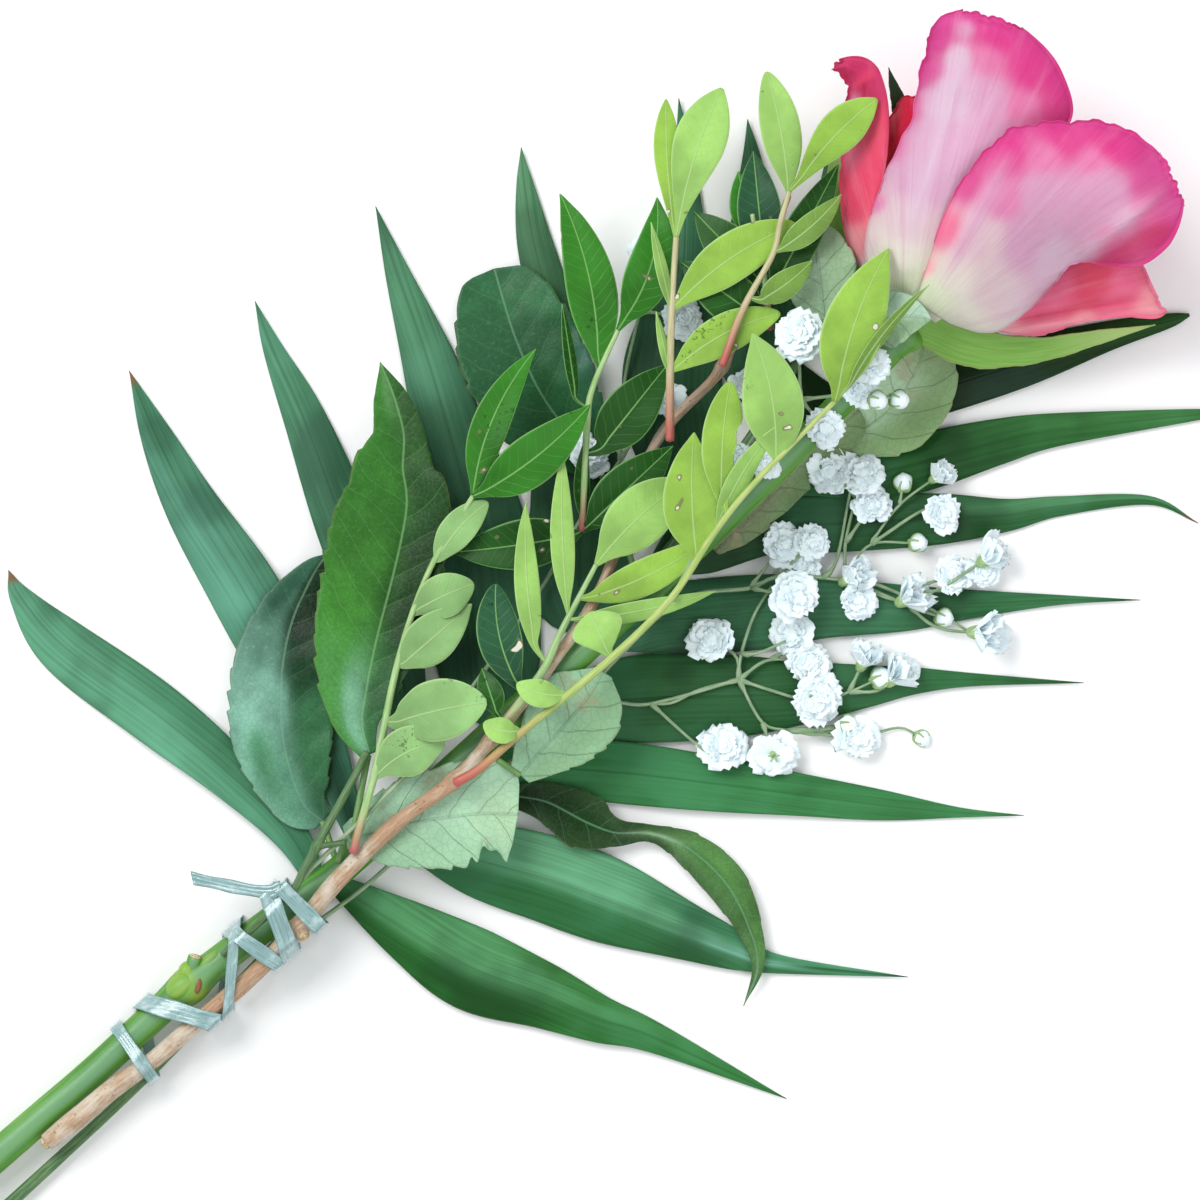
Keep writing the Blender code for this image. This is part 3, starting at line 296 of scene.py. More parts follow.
def blade(build, spine, solid, rows, cols, tints, fold, thick, wave, ease, rib=0.2, roll=0.0, teeth=0,
          depth=0.1, waves=2.5, pleat=0.0, veins=None, mark=0.0, kinds=(0, 0), rib_up=False, bites=(),
          round_tip=0.0, skew=0.0, lift=0.0):
    """A leaf blade from (u, v, width px) points, at the height of its CAD solid.

    bites are (share along, side, width, depth), and veins are (spacing, slant, curve, relief) in mm.
    """
    fine = smooth(spine, rows)
    line = planned(fine)
    half_width = np.maximum(fine[:, 2] * PX / 2, 0.07)
    share = np.linspace(0, 1, rows)
    if round_tip:
        last = (1 - share) / round_tip
        cap = (half_width[np.searchsorted(share, 1 - round_tip)]
            * np.sqrt(np.maximum(1 - (1 - last) ** 2, 0.0)))
        half_width = np.where(last < 1, np.minimum(half_width, cap + 0.1), half_width)
    ident = RANDOM.uniform()
    low = solid.along(line, None, ease=ease) + lift
    side = across_of(line)
    line = line - side * (skew * half_width)[:, None]
    reach = np.sign(np.linspace(-1, 1, cols)) * np.abs(np.linspace(-1, 1, cols)) ** 0.9
    edge = half_width[:, None] * (1 + skew * np.sign(reach))
    if teeth:
        for column, shift in ((reach < 0, 0.0), (reach > 0, 0.4)):
            sway = 0.35 * np.sin(share * 11 + ident * 20)
            tooth = (share * teeth + shift + sway) % 1
            big = 0.6 + 0.4 * np.sin(share * 23 + ident * 30)
            cut = depth * big * (tooth - 0.75) * np.sin(np.pi * share.clip(0, 1) ** 0.8) ** 0.4
            edge[:, column] *= (1 + cut[:, None] * np.abs(reach[column]) ** 6)
    along = run_of(line)
    for at, where, wide, deep in bites:
        gone = np.exp(-((share - at) / wide) ** 2)[:, None] * (reach * where > 0) * np.abs(reach) ** 3
        edge *= 1 - deep * gone
    across = edge * reach
    grid = np.zeros((rows, cols, 3))
    grid[..., :2] = line[:, None] + side[:, None] * across[..., None]
    bend = np.sqrt(reach ** 2 + 0.01) - 0.1
    grid[..., 2] = low[:, None] + (bend * fold + reach * roll) * half_width[:, None]
    turns = RANDOM.uniform(0, 2 * math.pi, 3)
    for sign in (-1, 1):
        column = reach * sign > 0
        ripple = np.sin(2 * math.pi * waves * share + turns[sign]) + 0.4 * np.sin(
            2 * math.pi * waves * 2.3 * share + turns[0] * sign)
        grid[:, column, 2] += wave * ripple[:, None] * np.abs(reach[column]) ** 2 * np.sin(
            np.pi * share)[:, None]
    if pleat:
        grid[..., 2] += pleat * np.cos(reach * math.pi * 7) * np.sin(np.pi * share)[:, None] ** 0.5
    if veins:
        spacing, slant, curve, relief = veins
        gap = vein_gap(along[:, None], across, spacing, slant, curve)
        grid[..., 2] -= relief * np.exp(-(gap / (0.22 * spacing)) ** 2) * (1 - np.abs(reach) ** 4)
    ridge = rib * np.exp(-(across / 0.5) ** 2) * (1 - share)[:, None]
    grid[..., 2] += ridge * (0.5 if rib_up else -0.6)
    half = thick * (0.35 + 0.65 * (1 - reach ** 2)) + ridge * 0.5
    grid[..., 2] = np.maximum(grid[..., 2], FLOOR + 0.05 + half)
    shell(build, grid, half, (share[:, None], reach, ident), (along[:, None], across, mark), kinds,
          blended(packed(share[:, None], reach), tints))


# Materials

class Value:
    """A node's output to reckon with: a number, or a colour or place if it is wide."""

    def __init__(self, look, socket, wide=False):
        self.look, self.socket, self.wide = look, socket, wide

    def number(self, operation, *others):
        return self.look.put("Math", (self, *others), operation=operation)

    def __add__(self, other):
        if self.wide:
            return self.look.put("VectorMath", (self, other), wide=True, operation="ADD")
        return self.number("ADD", other)

    def __mul__(self, factor):
        if self.wide:
            return self.look.put("VectorMath", {0: self, "Scale": factor}, wide=True, operation="SCALE")
        return self.number("MULTIPLY", factor)

    def __sub__(self, other):
        return self.number("SUBTRACT", other)

    def __truediv__(self, other):
        return self.number("DIVIDE", other)

    def __abs__(self):
        return self.number("ABSOLUTE")

    def step(self, low, high, start, end):
        """Smoothly from start, at low, to end, at high."""
        return self.look.put("MapRange", (self, low, high, start, end), interpolation_type="SMOOTHSTEP")

    def rise(self, low, high):
        return self.step(low, high, 0.0, 1.0)

    def fall(self, low, high):
        return self.step(low, high, 1.0, 0.0)


class Look:
    """A procedural material and short ways to its nodes."""

    def __init__(self, name, **fixed):
        self.material = bpy.data.materials.new(name)
        self.material.use_nodes = True
        self.nodes, self.links = self.material.node_tree.nodes, self.material.node_tree.links
        self.surface = self.nodes["Principled BSDF"]
        for key, value in fixed.items():
            self.surface.inputs[key.replace("_", " ")].default_value = value

    def feed(self, socket, value):
        if isinstance(value, tuple) and any(isinstance(part, Value) for part in value):
            value = self.put("CombineXYZ", value)
        if isinstance(value, Value):
            self.links.new(value.socket, socket)
        else:
            socket.default_value = (*value, 1) if socket.type == "RGBA" else value

    def node(self, kind, inputs=(), **settings):
        node = self.nodes.new("ShaderNode" + kind)
        for key, value in settings.items():
            setattr(node, key, value)
        for key, value in (inputs.items() if isinstance(inputs, dict) else enumerate(inputs)):
            self.feed(node.inputs[key], value)
        return node

    def put(self, kind, inputs=(), output=0, wide=False, **settings):
        return Value(self, self.node(kind, inputs, **settings).outputs[output], wide)

    def attribute(self, label):
        return self.put("Attribute", output="Vector", wide=True, attribute_name=label)

    def parts(self, label):
        """The three numbers of a vertex's shader coordinates."""
        return [Value(self, socket) for socket in self.node("SeparateXYZ",
            [self.attribute(label)]).outputs[:3]]

    def place(self):
        """World place in mm."""
        return self.put("TexCoord", output="Object", wide=True) * 1000.0

    def noise(self, where, scale, detail=2.0, rough=0.5):
        return self.put("TexNoise", {"Vector": where, "Scale": scale, "Detail": detail, "Roughness": rough})

    def cells(self, where, scale, feature="DISTANCE_TO_EDGE"):
        return self.put("TexVoronoi", {"Vector": where, "Scale": scale}, "Distance", feature=feature)

    def mix(self, factor, a, b):
        return self.put("Mix", {0: factor, 6: a, 7: b}, 2, data_type="RGBA")

    def pinnate(self, spacing, slant, curve, wobble=0.25):
        """Distance in mm from a side vein, as in the mesh's relief, and the mm along and across."""
        along, across, _ = self.parts("size")
        reach = abs(across)
        bent = reach * slant + reach * reach * curve
        shift = across.number("GREATER_THAN", 0.0) * 0.5
        sway = (self.noise((along, across, 0.0), 0.25) - 0.5) * wobble
        phase = (along - bent) / spacing + shift + sway
        return phase.number("PINGPONG", 0.5) * spacing, along, across

    def finish(self, tone, layers, rough, height=None, distance=0.0):
        """Layers of (weight, colour) over a first tone, roughness, and bumps of a distance in mm."""
        for weight, colour in layers:
            tone = self.mix(weight, tone, colour)
        self.feed(self.surface.inputs["Base Color"], tone)
        self.feed(self.surface.inputs["Roughness"], rough)
        if height:
            bump = self.put("Bump", {"Height": height, "Distance": distance * 0.001, "Strength": 1.0})
            self.feed(self.surface.inputs["Normal"], bump)
        return self.material


def palm_look():
    """Palm tissue: fine lengthwise fibres, soft bluish patches of painted sheen and a faint central groove
    darkened with painted shade.
    """
    look = Look("palm_leaf", IOR=1.42, Specular_IOR_Level=0.2)
    (share, reach, ident), (along, across, mark) = look.parts("leaf"), look.parts("size")
    tint = look.attribute("tint")
    fibre = look.noise((along * 0.012, across * 1.1, ident * 9.0), 1.6, 6.0, 0.7)
    fine = look.noise((along * 0.05, across * 4.5, ident), 2.2, 3.0, 0.6)
    patch = look.noise(look.place() + (ident, 0.0, 0.0), 0.028, 3.0, 0.6)
    sheen_patch = patch * 0.9 + fibre * 0.1
    groove = abs(across).fall(0.04, 0.3)
    # sheen_patch paints a bluish sheen where it is high and a darker tone where it is low; the groove's
    # darkening is painted shade.
    return look.finish(
        look.mix(fibre.rise(0.36, 0.64), tint * 0.84, tint * 1.1),
        [(sheen_patch.rise(0.5, 0.62) * 0.55, tint * 1.3 + (0.012, 0.02, 0.03)),
         (sheen_patch.rise(0.5, 0.38) * 0.7, tint * 0.45),
         (fine.rise(0.56, 0.75) * 0.28, tint * 0.5),
         (groove * 0.4, tint * 0.55),
         (abs(reach).rise(0.95, 1.0) * 0.35, (0.10, 0.22, 0.07)),
         ((share * mark + fibre * 0.03).rise(0.975, 1.0), (0.16, 0.10, 0.045))],
        fine.step(0.2, 0.8, 0.34, 0.46), fibre * 0.4 + fine * 0.3 + groove * -0.8, 0.1)


def stalk_look(name, low, high, base=None):
    """A thin herbaceous stalk, streaked along its length, with another colour at its marked parts."""
    look = Look(name)
    (_, _, ident), (along, across, mark) = look.parts("leaf"), look.parts("size")
    streak = look.noise((along * 0.25, across * 3.0, ident), 1.0, 3.0)
    patch = look.noise(look.place(), 0.12, 2.0)
    tone = look.mix((streak * 0.7 + patch * 0.3).rise(0.35, 0.65), low, high)
    layers = [((mark + patch * 0.3 + streak * 0.2).rise(0.3, 1.2), base)] if base else []
    return look.finish(tone, layers, 0.45, streak, 0.12)


def rose_top_look(name, gloss, light, depth):
    """The upper side of a rose leaf: a pale midrib, thin side veins and a fine net between them, with painted
    shade in the sunken lines of a leathery net and small painted glints.
    """
    look = Look(name, IOR=1.44, Specular_IOR_Level=0.18)
    gap, along, across = look.pinnate(6.0, 0.75, 0.018)
    reach = look.parts("leaf")[1]
    place, tint = look.place(), look.attribute("tint")
    spine = abs(across).fall(0.08, 0.36)
    net = look.cells((along, across, 0.0), 0.55)
    patch, grain = look.noise(place, 0.05, 4.0, 0.6), look.noise(place, 1.2, 3.0)
    leather = look.cells(place, 0.95).fall(0.0, 0.12)
    # leather darkens the sunken lines of the net as painted shade; the brightest grain paints small glints.
    return look.finish(look.mix(patch.rise(0.38, 0.64), tint * 0.68, tint * 1.3),
        [(grain.rise(0.4, 0.7) * 0.2, tint * 0.7), (leather * 0.3, tint * 0.5),
        (grain.rise(0.58, 0.7) * 0.35, tint * 1.35 + (0.01, 0.014, 0.012)),
        (net.fall(0.0, 0.07) * 0.05, light), (gap.fall(0.0, 0.2) * 0.16, light), (spine * 0.45, light),
        (abs(reach).rise(0.96, 1.0) * 0.4, (0.16, 0.15, 0.05))], grain.step(0.3, 0.7, gloss, gloss + 0.1),
        gap.rise(0.0, 2.0) * 0.25 + net.rise(0.0, 0.3) * 0.06 + spine * -0.6 + leather * -0.1 + grain * 0.3,
        depth)


def rose_under_look():
    """The matt pale underside of a rose leaf, its veins standing out a little."""
    look = Look("rose_leaf_underside", IOR=1.4)
    gap, along, across = look.pinnate(6.0, 0.75, 0.018)
    reach = look.parts("leaf")[1]
    place, tint = look.place(), look.attribute("tint")
    vein, spine = gap.fall(0.02, 0.22), abs(across).fall(0.1, 0.42)
    thread = look.cells((along, across, 0.0), 0.62).fall(0.0, 0.08)
    patch, grain = look.noise(place, 0.07, 4.0, 0.6), look.noise(place, 2.0, 3.0)
    blemish = look.noise(place + (31.0, 7.0, 0.0), 0.11, 3.0, 0.6)
    return look.finish(
        look.mix(patch.rise(0.35, 0.65), tint * 0.86, tint * 1.08),
        [(grain.rise(0.4, 0.75) * 0.2, tint * 0.78),
         (look.cells(place, 1.5).fall(0.0, 0.12) * 0.14, tint * 0.62),
         (thread * 0.2, tint * 0.66),
         (vein * 0.34, tint * 0.62),
         (spine * 0.5, tint * 0.72),
         (blemish.rise(0.6, 0.7) * 0.5, (0.32, 0.27, 0.15)),
         (abs(reach).rise(0.94, 1.0) * 0.35, (0.24, 0.25, 0.12))],
        0.6, vein * 0.8 + thread * 0.3 + spine * 1.0 + grain * 0.2, 0.16)


def pistache_look(name, light, gloss, strength):
    """A pistache leaflet: a pale midrib and rim, faint side veins, and small bitten specks."""
    look = Look(name, IOR=1.42, Specular_IOR_Level=0.2)
    gap, _, across = look.pinnate(2.3, 0.7, 0.03, 0.5)
    share, reach, ident = look.parts("leaf")
    place, tint = look.place(), look.attribute("tint")
    vein = gap.fall(0.0, 0.16)
    spine = abs(across).fall(0.06, share.step(0.0, 1.0, 0.3, 0.16))
    patch = look.noise(place + (ident * 40.0, 0.0, 0.0), 0.08, 3.0, 0.6)
    grain = look.noise(place, 1.8, 3.0)
    where = place + (ident * 70.0, 0.0, 0.0)
    cluster = look.noise(where, 0.09, 1.0).rise(0.64, 0.72)
    speck = look.noise(where, 1.1, 2.0, 0.6).rise(0.6, 0.64)
    hole = look.noise(where + (5.0, 9.0, 0.0), 0.26, 1.0)
    return look.finish(
        look.mix(patch.rise(0.34, 0.66), tint * 0.82, tint * 1.1),
        [(grain.rise(0.42, 0.72) * 0.24, tint * 0.8),
         (vein * 0.16, light),
         (spine * strength, light),
         (abs(reach).rise(0.92, 0.99) * 0.75, light),
         (cluster * speck * 0.7, tint * 0.25),
         (hole.rise(0.735, 0.75) * 0.8, (0.16, 0.15, 0.07)),
         (hole.rise(0.765, 0.775), (0.62, 0.62, 0.5))],
        grain.step(0.3, 0.7, gloss, gloss + 0.1), vein * -0.3 + spine * 0.6 + grain * 0.2, 0.12)


def petal_look():
    """Petal tissue: the mesh's own tint and fine veins from foot to rim, a little light passing through."""
    look = Look("petal", IOR=1.36, Specular_IOR_Level=0.25, Subsurface_Weight=0.2, Subsurface_Scale=0.0015)
    look.surface.inputs["Subsurface Radius"].default_value = (1.0, 0.35, 0.4)
    share, reach, ident = look.parts("leaf")
    place, tint = look.place(), look.attribute("tint")
    streak = look.noise((share * 1.6, reach * 14.0, ident * 7.0), 1.3, 4.0, 0.6)
    hair = look.noise((share * 4.0, reach * 75.0, ident), 1.0, 3.0, 0.6)
    cloud, fleck = look.noise(place, 0.1, 3.0), look.noise(place, 0.9, 3.0, 0.6)
    darker = look.put("VectorMath", [tint, (0.92, 0.72, 0.84)], operation="MULTIPLY")
    lighter = look.mix(0.14, tint, (0.86, 0.76, 0.84))
    return look.finish(
        tint,
        [(streak.rise(0.5, 0.72) * 0.55, darker),
         (streak.rise(0.5, 0.3) * 0.5, lighter),
         (hair.rise(0.5, 0.68) * 0.45, darker),
         (fleck.rise(0.55, 0.7) * 0.2, darker),
         (cloud.rise(0.45, 0.7) * 0.2, lighter)],
        streak.step(0.3, 0.7, 0.5, 0.62), streak * 0.5 + hair * 0.45 + fleck * 0.2, 0.14)


def stem_look():
    """The rose's smooth stem, a painted highlight as a soft pale band along its upper side."""
    look = Look("stem_green", IOR=1.44, Specular_IOR_Level=0.36)
    (along, _, mark), (_, reach, _) = look.parts("size"), look.parts("leaf")
    place = look.place()
    streak = look.noise((along * 0.05, reach * 6.0, 0.0), 1.0, 3.0, 0.5)
    fine, patch = look.noise(place, 1.4, 3.0), look.noise(place, 0.06, 3.0)
    fresh = look.mix(streak.rise(0.3, 0.7), (0.30, 0.46, 0.06), (0.17, 0.36, 0.03))
    return look.finish(
        look.mix(streak.rise(0.35, 0.68), (0.042, 0.19, 0.008), (0.10, 0.30, 0.022)),
        [(patch.rise(0.45, 0.65) * 0.3, (0.16, 0.36, 0.05)),
         # painted highlight: a pale band along the stem's upper side
         (abs(reach + 0.42 + streak * 0.2).fall(0.02, 0.34) * 0.6, (0.18, 0.35, 0.22)),
         (mark.rise(0.15, 0.5) * 0.8, fresh),
         (fine.rise(0.66, 0.76) * 0.2, (0.30, 0.42, 0.20)),
         ((mark + patch * 0.5).rise(0.75, 1.1), (0.22, 0.10, 0.045))],
        fine.step(0.3, 0.7, 0.34, 0.44), streak * 0.5 + fine * 0.25, 0.1)


def cut_look(name, middle, edge):
    """A freshly cut end, pale with darker spots."""
    look = Look(name)
    grain = look.noise(look.place(), 2.5, 3.0)
    return look.finish(look.mix(grain.rise(0.4, 0.65), middle, edge), [], 0.7, grain, 0.2)


def bark_look():
    """Pinkish tan bark with pale patches, pores and cracks along it, red where it is marked."""
    look = Look("bark")
    along, across, mark = look.parts("size")
    long_way = look.noise((along * 0.2, across * 1.5, 0.0), 1.2, 4.0, 0.65)
    patch = look.noise(look.place(), 0.09, 4.0, 0.6)
    crack = look.noise((along * 0.7, across * 1.1, 5.0), 1.6, 2.0)
    pore = look.cells((along * 0.9, across * 0.6, 0.0), 0.8, "F1")
    return look.finish(
        look.mix(long_way.rise(0.36, 0.66), (0.36, 0.235, 0.14), (0.56, 0.44, 0.31)),
        [(patch.rise(0.45, 0.65) * 0.75, (0.65, 0.59, 0.49)),
         (patch.rise(0.54, 0.38) * 0.55, (0.42, 0.21, 0.11)),
         (pore.rise(0.13, 0.06) * 0.5, (0.09, 0.05, 0.03)),
         (crack.rise(0.64, 0.74) * 0.45, (0.14, 0.08, 0.045)),
         (mark.rise(0.3, 0.9) * patch.rise(0.4, 0.6), (0.26, 0.10, 0.07))],
        0.62, long_way * 0.7 + pore.rise(0.06, 0.2) * 0.4 + crack * -0.3, 0.4)


def floret_look():
    """Gypsophila petals: nearly pure white, a little green at the foot."""
    look = Look("gypsophila", IOR=1.33, Specular_IOR_Level=0.2)
    share, reach, ident = look.parts("leaf")
    vein = look.noise((share * 0.6, reach * 2.5, ident * 50.0), 2.0, 2.0)
    return look.finish(look.mix(vein.rise(0.45, 0.75), (0.85, 0.945, 0.975), (0.75, 0.87, 0.93)),
                       [(share.rise(0.3, 0.0), (0.72, 0.86, 0.62))], 0.6, vein, 0.06)


def string_look():
    """Thin glossy plastic string, half see-through, with painted highlights along its creases and thin
    painted white glints.
    """
    look = Look("string", IOR=1.5, Transmission_Weight=0.3, Coat_Weight=0.9, Coat_Roughness=0.08)
    along, across, _ = look.parts("size")
    streak = look.noise((along * 0.1, across * 2.5, 0.0), 1.2, 3.0, 0.6)
    crease = look.noise((along * 0.4, across * 0.45, 4.0), 1.0, 3.0, 0.5)
    return look.finish(look.mix(streak.rise(0.35, 0.65), (0.2, 0.37, 0.36), (0.33, 0.53, 0.53)),
        # Painted highlights: pale blue where the crease noise is high, thin white glints along the streaks.
        [(crease.rise(0.5, 0.7) * 0.6, (0.6, 0.78, 0.82)),
        (streak.rise(0.66, 0.78) * 0.15, (0.8, 0.9, 0.92))], crease.step(0.3, 0.7, 0.12, 0.26), streak * 0.2
        + crease * 1.2, 0.3)


def sepal_look():
    """A sepal, yellower towards its tip and rim, and near-black with painted shade where its ident says so.
    """
    look = Look("sepal", IOR=1.4)
    (share, reach, ident), (along, across, _) = look.parts("leaf"), look.parts("size")
    streak = look.noise((along * 0.1, across * 2.2, 0.0), 1.0, 3.0)
    return look.finish(
        look.mix(streak.rise(0.3, 0.7), (0.16, 0.37, 0.05), (0.22, 0.44, 0.085)),
        [(share.rise(0.5, 0.95) * 0.7, (0.42, 0.52, 0.20)),
         (abs(reach).rise(0.8, 1.0) * 0.3, (0.50, 0.42, 0.22)),
         # painted shade: the sepal whose ident is 1 is near-black
         (ident, (0.012, 0.05, 0.012))],
        0.55, streak * 0.6 + look.noise(look.place(), 1.5, 3.0) * 0.3, 0.1)


PALM = palm_look()
PALM_STALK = stalk_look("palm_stalk", (0.03, 0.10, 0.03), (0.09, 0.20, 0.06))
ROSE_DARK = rose_top_look("rose_leaf_dark", 0.27, (0.16, 0.34, 0.20), 0.1)
ROSE_GREEN = rose_top_look("rose_leaf", 0.32, (0.20, 0.42, 0.16), 0.12)
ROSE_UNDER = rose_under_look()
ROSE_STALK = stalk_look("rose_leaf_stalk", (0.10, 0.24, 0.06), (0.20, 0.36, 0.12))
PISTACHE_LIME = pistache_look("pistache_leaf", (0.42, 0.60, 0.26), 0.42, 0.6)
PISTACHE_DARK = pistache_look("pistache_leaf_dark", (0.20, 0.42, 0.13), 0.28, 0.8)
PISTACHE_STALK = stalk_look("pistache_stalk", (0.24, 0.42, 0.14), (0.40, 0.56, 0.26), (0.42, 0.11, 0.10))
PINK_STALK = stalk_look("pistache_stalk_pink", (0.38, 0.38, 0.18), (0.54, 0.48, 0.30), (0.44, 0.10, 0.08))
YELLOW_STALK = stalk_look("pistache_stalk_yellow", (0.29, 0.43, 0.09), (0.45, 0.54, 0.18), (0.46, 0.10, 0.08))
PISTACHE_STALKS = {"b": YELLOW_STALK, "d": PINK_STALK, "e": PINK_STALK}
PETAL = petal_look()
STEM = stem_look()
SEPAL = sepal_look()
CUT = cut_look("cut_end", (0.62, 0.52, 0.30), (0.34, 0.20, 0.10))
BARK = bark_look()
FLORET = floret_look()
CALYX = stalk_look("calyx", (0.22, 0.38, 0.14), (0.42, 0.56, 0.28))
GYP_STEM = stalk_look("gypsophila_stem", (0.16, 0.28, 0.13), (0.33, 0.44, 0.28))
CUT_STEM = stalk_look("gypsophila_cut_stem", (0.04, 0.11, 0.03), (0.10, 0.20, 0.07))
STRING = string_look()


# Palm frond: each leaflet's spine of (u, v, width px), and its tints of (share, across, reach, colour), which
# paint a bluish sheen and bands of shade over the leaflet's own green

PALM_LEAFLETS = {
    "l1": [(325, 890, 14), (290, 835, 36), (230, 775, 51), (152, 712, 63), (63, 647, 56), (20, 598, 24),
        (7, 570, 0)],
    "l2": [(370, 855, 12), (320, 740, 48), (275, 650, 68), (240, 585, 70), (190, 505, 54), (155, 435, 32),
        (128, 370, 0)],
    "l3": [(425, 805, 12), (398, 660, 50), (350, 540, 60), (305, 421, 43), (272, 348, 20), (254, 300, 0)],
    "l4": [(500, 738, 12), (490, 680, 96), (482, 590, 112), (474, 520, 100), (456, 455, 78), (428, 360, 54),
        (398, 275, 26), (375, 205, 0)],
    "l5": [(600, 635, 12), (580, 590, 100), (580, 500, 100), (566, 420, 72), (548, 300, 46), (533, 235, 34),
        (525, 185, 18), (521, 146, 0)],
    "l6": [(690, 520, 12), (680, 450, 90), (672, 380, 100), (680, 320, 84), (686, 230, 40), (684, 150, 18),
        (679, 97, 0)],
    "l7": [(760, 425, 12), (758, 360, 80), (756, 290, 72), (754, 210, 42), (752, 155, 18), (748, 118, 0)],
    "l8": [(815, 335, 20), (822, 300, 56), (828, 240, 40), (840, 150, 22), (849, 96, 0)],
    "r1": [(332, 888, 20), (408, 932, 62), (472, 970, 84), (544, 997, 66), (599, 1020, 48), (655, 1039, 31),
        (787, 1100, 0)],
    "r2": [(385, 842, 16), (470, 858, 72), (549, 880, 88), (611, 903, 85), (685, 932, 58), (740, 953, 38),
        (779, 965, 19), (909, 978, 0)],
    "r3": [(460, 775, 16), (540, 768, 52), (620, 773, 62), (713, 784, 56), (799, 795, 43), (885, 806, 30),
        (960, 813, 10), (1025, 816, 0)],
    "r4": [(535, 705, 16), (600, 702, 74), (660, 698, 90), (747, 696, 80), (801, 693, 64), (870, 686, 42),
        (916, 681, 27), (975, 680, 13), (1085, 683, 0)],
    "r5": [(595, 640, 18), (655, 622, 66), (702, 617, 76), (774, 611, 74), (828, 608, 60), (908, 608, 46),
        (975, 604, 28), (1060, 600, 10), (1142, 600, 0)],
    "r6": [(655, 566, 20), (700, 543, 64), (777, 525, 54), (828, 524, 57), (935, 519, 52), (1007, 515, 33),
        (1060, 506, 20), (1150, 500, 9), (1200, 523, 0)],
    "r7": [(745, 448, 18), (820, 482, 50), (880, 472, 56), (930, 460, 58), (1000, 441, 46), (1060, 429, 33),
        (1200, 414, 11), (1245, 411, 0)],
    "r8": [(785, 375, 30), (820, 410, 62), (850, 416, 60), (900, 402, 48), (960, 382, 52), (1030, 360, 48),
        (1110, 335, 30), (1170, 320, 15), (1191, 314, 3)],
}
FOOT, TIP = (0.4, 0, 0.6), (0.8, 0, 0.5)
# The tints' light bluish spots are painted sheen and their darkest spots are painted shade.
PALM_TINTS = {
    "l1": ((0.3, -0.5, 0.6, (0.045, 0.16, 0.09)), (0.7, 0.3, 0.6, (0.09, 0.26, 0.17))),
    "l2": ((0.25, 0, 0.2, (0.014, 0.06, 0.034)), (0.41, 0.2, 0.14, (0.006, 0.045, 0.018)),
        (0.64, 0.2, 0.3, (0.08, 0.23, 0.165)), (0.5, -0.9, 0.15, (0.06, 0.18, 0.12)),
        (0.95, 0, 0.3, (0.04, 0.14, 0.08))),
    "l3": ((*FOOT, (0.04, 0.14, 0.08)), (*TIP, (0.06, 0.18, 0.11))),
    "l4": ((*FOOT, (0.03, 0.1, 0.055)), (*TIP, (0.065, 0.19, 0.11))),
    "l5": ((*FOOT, (0.025, 0.09, 0.045)), (*TIP, (0.085, 0.22, 0.12))),
    "l6": ((*FOOT, (0.02, 0.07, 0.035)), (*TIP, (0.045, 0.15, 0.08))),
    "l7": ((*FOOT, (0.02, 0.07, 0.03)), (*TIP, (0.04, 0.14, 0.07))),
    "l8": ((*FOOT, (0.02, 0.07, 0.03)), (*TIP, (0.03, 0.12, 0.05))),
    "r1": ((0.3, 0.4, 0.4, (0.07, 0.23, 0.1)), (0.3, -0.7, 0.35, (0.012, 0.085, 0.015)),
        (0.55, 0.8, 0.3, (0.03, 0.14, 0.035)), (0.6, -0.2, 0.2, (0.022, 0.12, 0.03)),
        (0.6, -0.9, 0.2, (0.02, 0.12, 0.025)), (0.85, 0, 0.3, (0.03, 0.15, 0.04))),
    "r2": ((0.35, 0.4, 0.3, (0.1, 0.28, 0.16)), (0.35, -0.6, 0.3, (0.02, 0.11, 0.035)),
        (0.6, 0.6, 0.2, (0.04, 0.16, 0.08)), (0.72, 0, 0.13, (0.13, 0.32, 0.24)),
        (0.88, 0, 0.15, (0.02, 0.11, 0.04))),
    "r3": ((*FOOT, (0.03, 0.15, 0.05)), (*TIP, (0.035, 0.16, 0.055))),
    "r4": ((*FOOT, (0.02, 0.09, 0.03)), (*TIP, (0.022, 0.11, 0.032))),
    "r5": ((*FOOT, (0.035, 0.13, 0.065)), (0.2, -1, 0.12, (0.01, 0.03, 0.02)),
        (0.2, 1, 0.12, (0.02, 0.08, 0.04)), (*TIP, (0.03, 0.13, 0.05))),
    "r6": ((0.3, 0, 0.5, (0.015, 0.07, 0.024)), (0.7, 0.4, 0.3, (0.055, 0.18, 0.08)),
        (0.8, -0.7, 0.4, (0.02, 0.1, 0.03))),
    "r7": ((*FOOT, (0.015, 0.09, 0.02)), (0.8, 0.2, 0.5, (0.035, 0.15, 0.04))),
    "r8": ((0.3, 0, 0.6, (0.004, 0.018, 0.003)), (0.9, 0, 0.4, (0.012, 0.06, 0.008))),
}
PALM_RACHIS = [(-299, 1488, 1.5), (13, 1200, 1.3), (129, 1093, 1.2), (200, 1022, 1.2), (335, 885, 1.3),
    (470, 765, 1.2), (600, 635, 1.1), (720, 480, 1.0), (790, 375, 0.9), (835, 290, 0.7)]


def stalk_line(solid, rachis, count, ease=2, skip=1):
    """A stalk's plan line with its heights, and its radii."""
    stalk = smooth(rachis, count)
    line = planned(stalk)
    return np.column_stack([line, solid.along(line, skip=skip, ease=ease)]), stalk[:, 2]


def rooted(spine, line):
    """A leaflet's spine, with its foot moved onto its stalk."""
    spine = np.array(spine, float)
    foot = line[away(line, *spine[0, :2]).argmin()]
    spine[0, :2] = foot[0] / PX, PICTURE - foot[1] / PX
    return spine


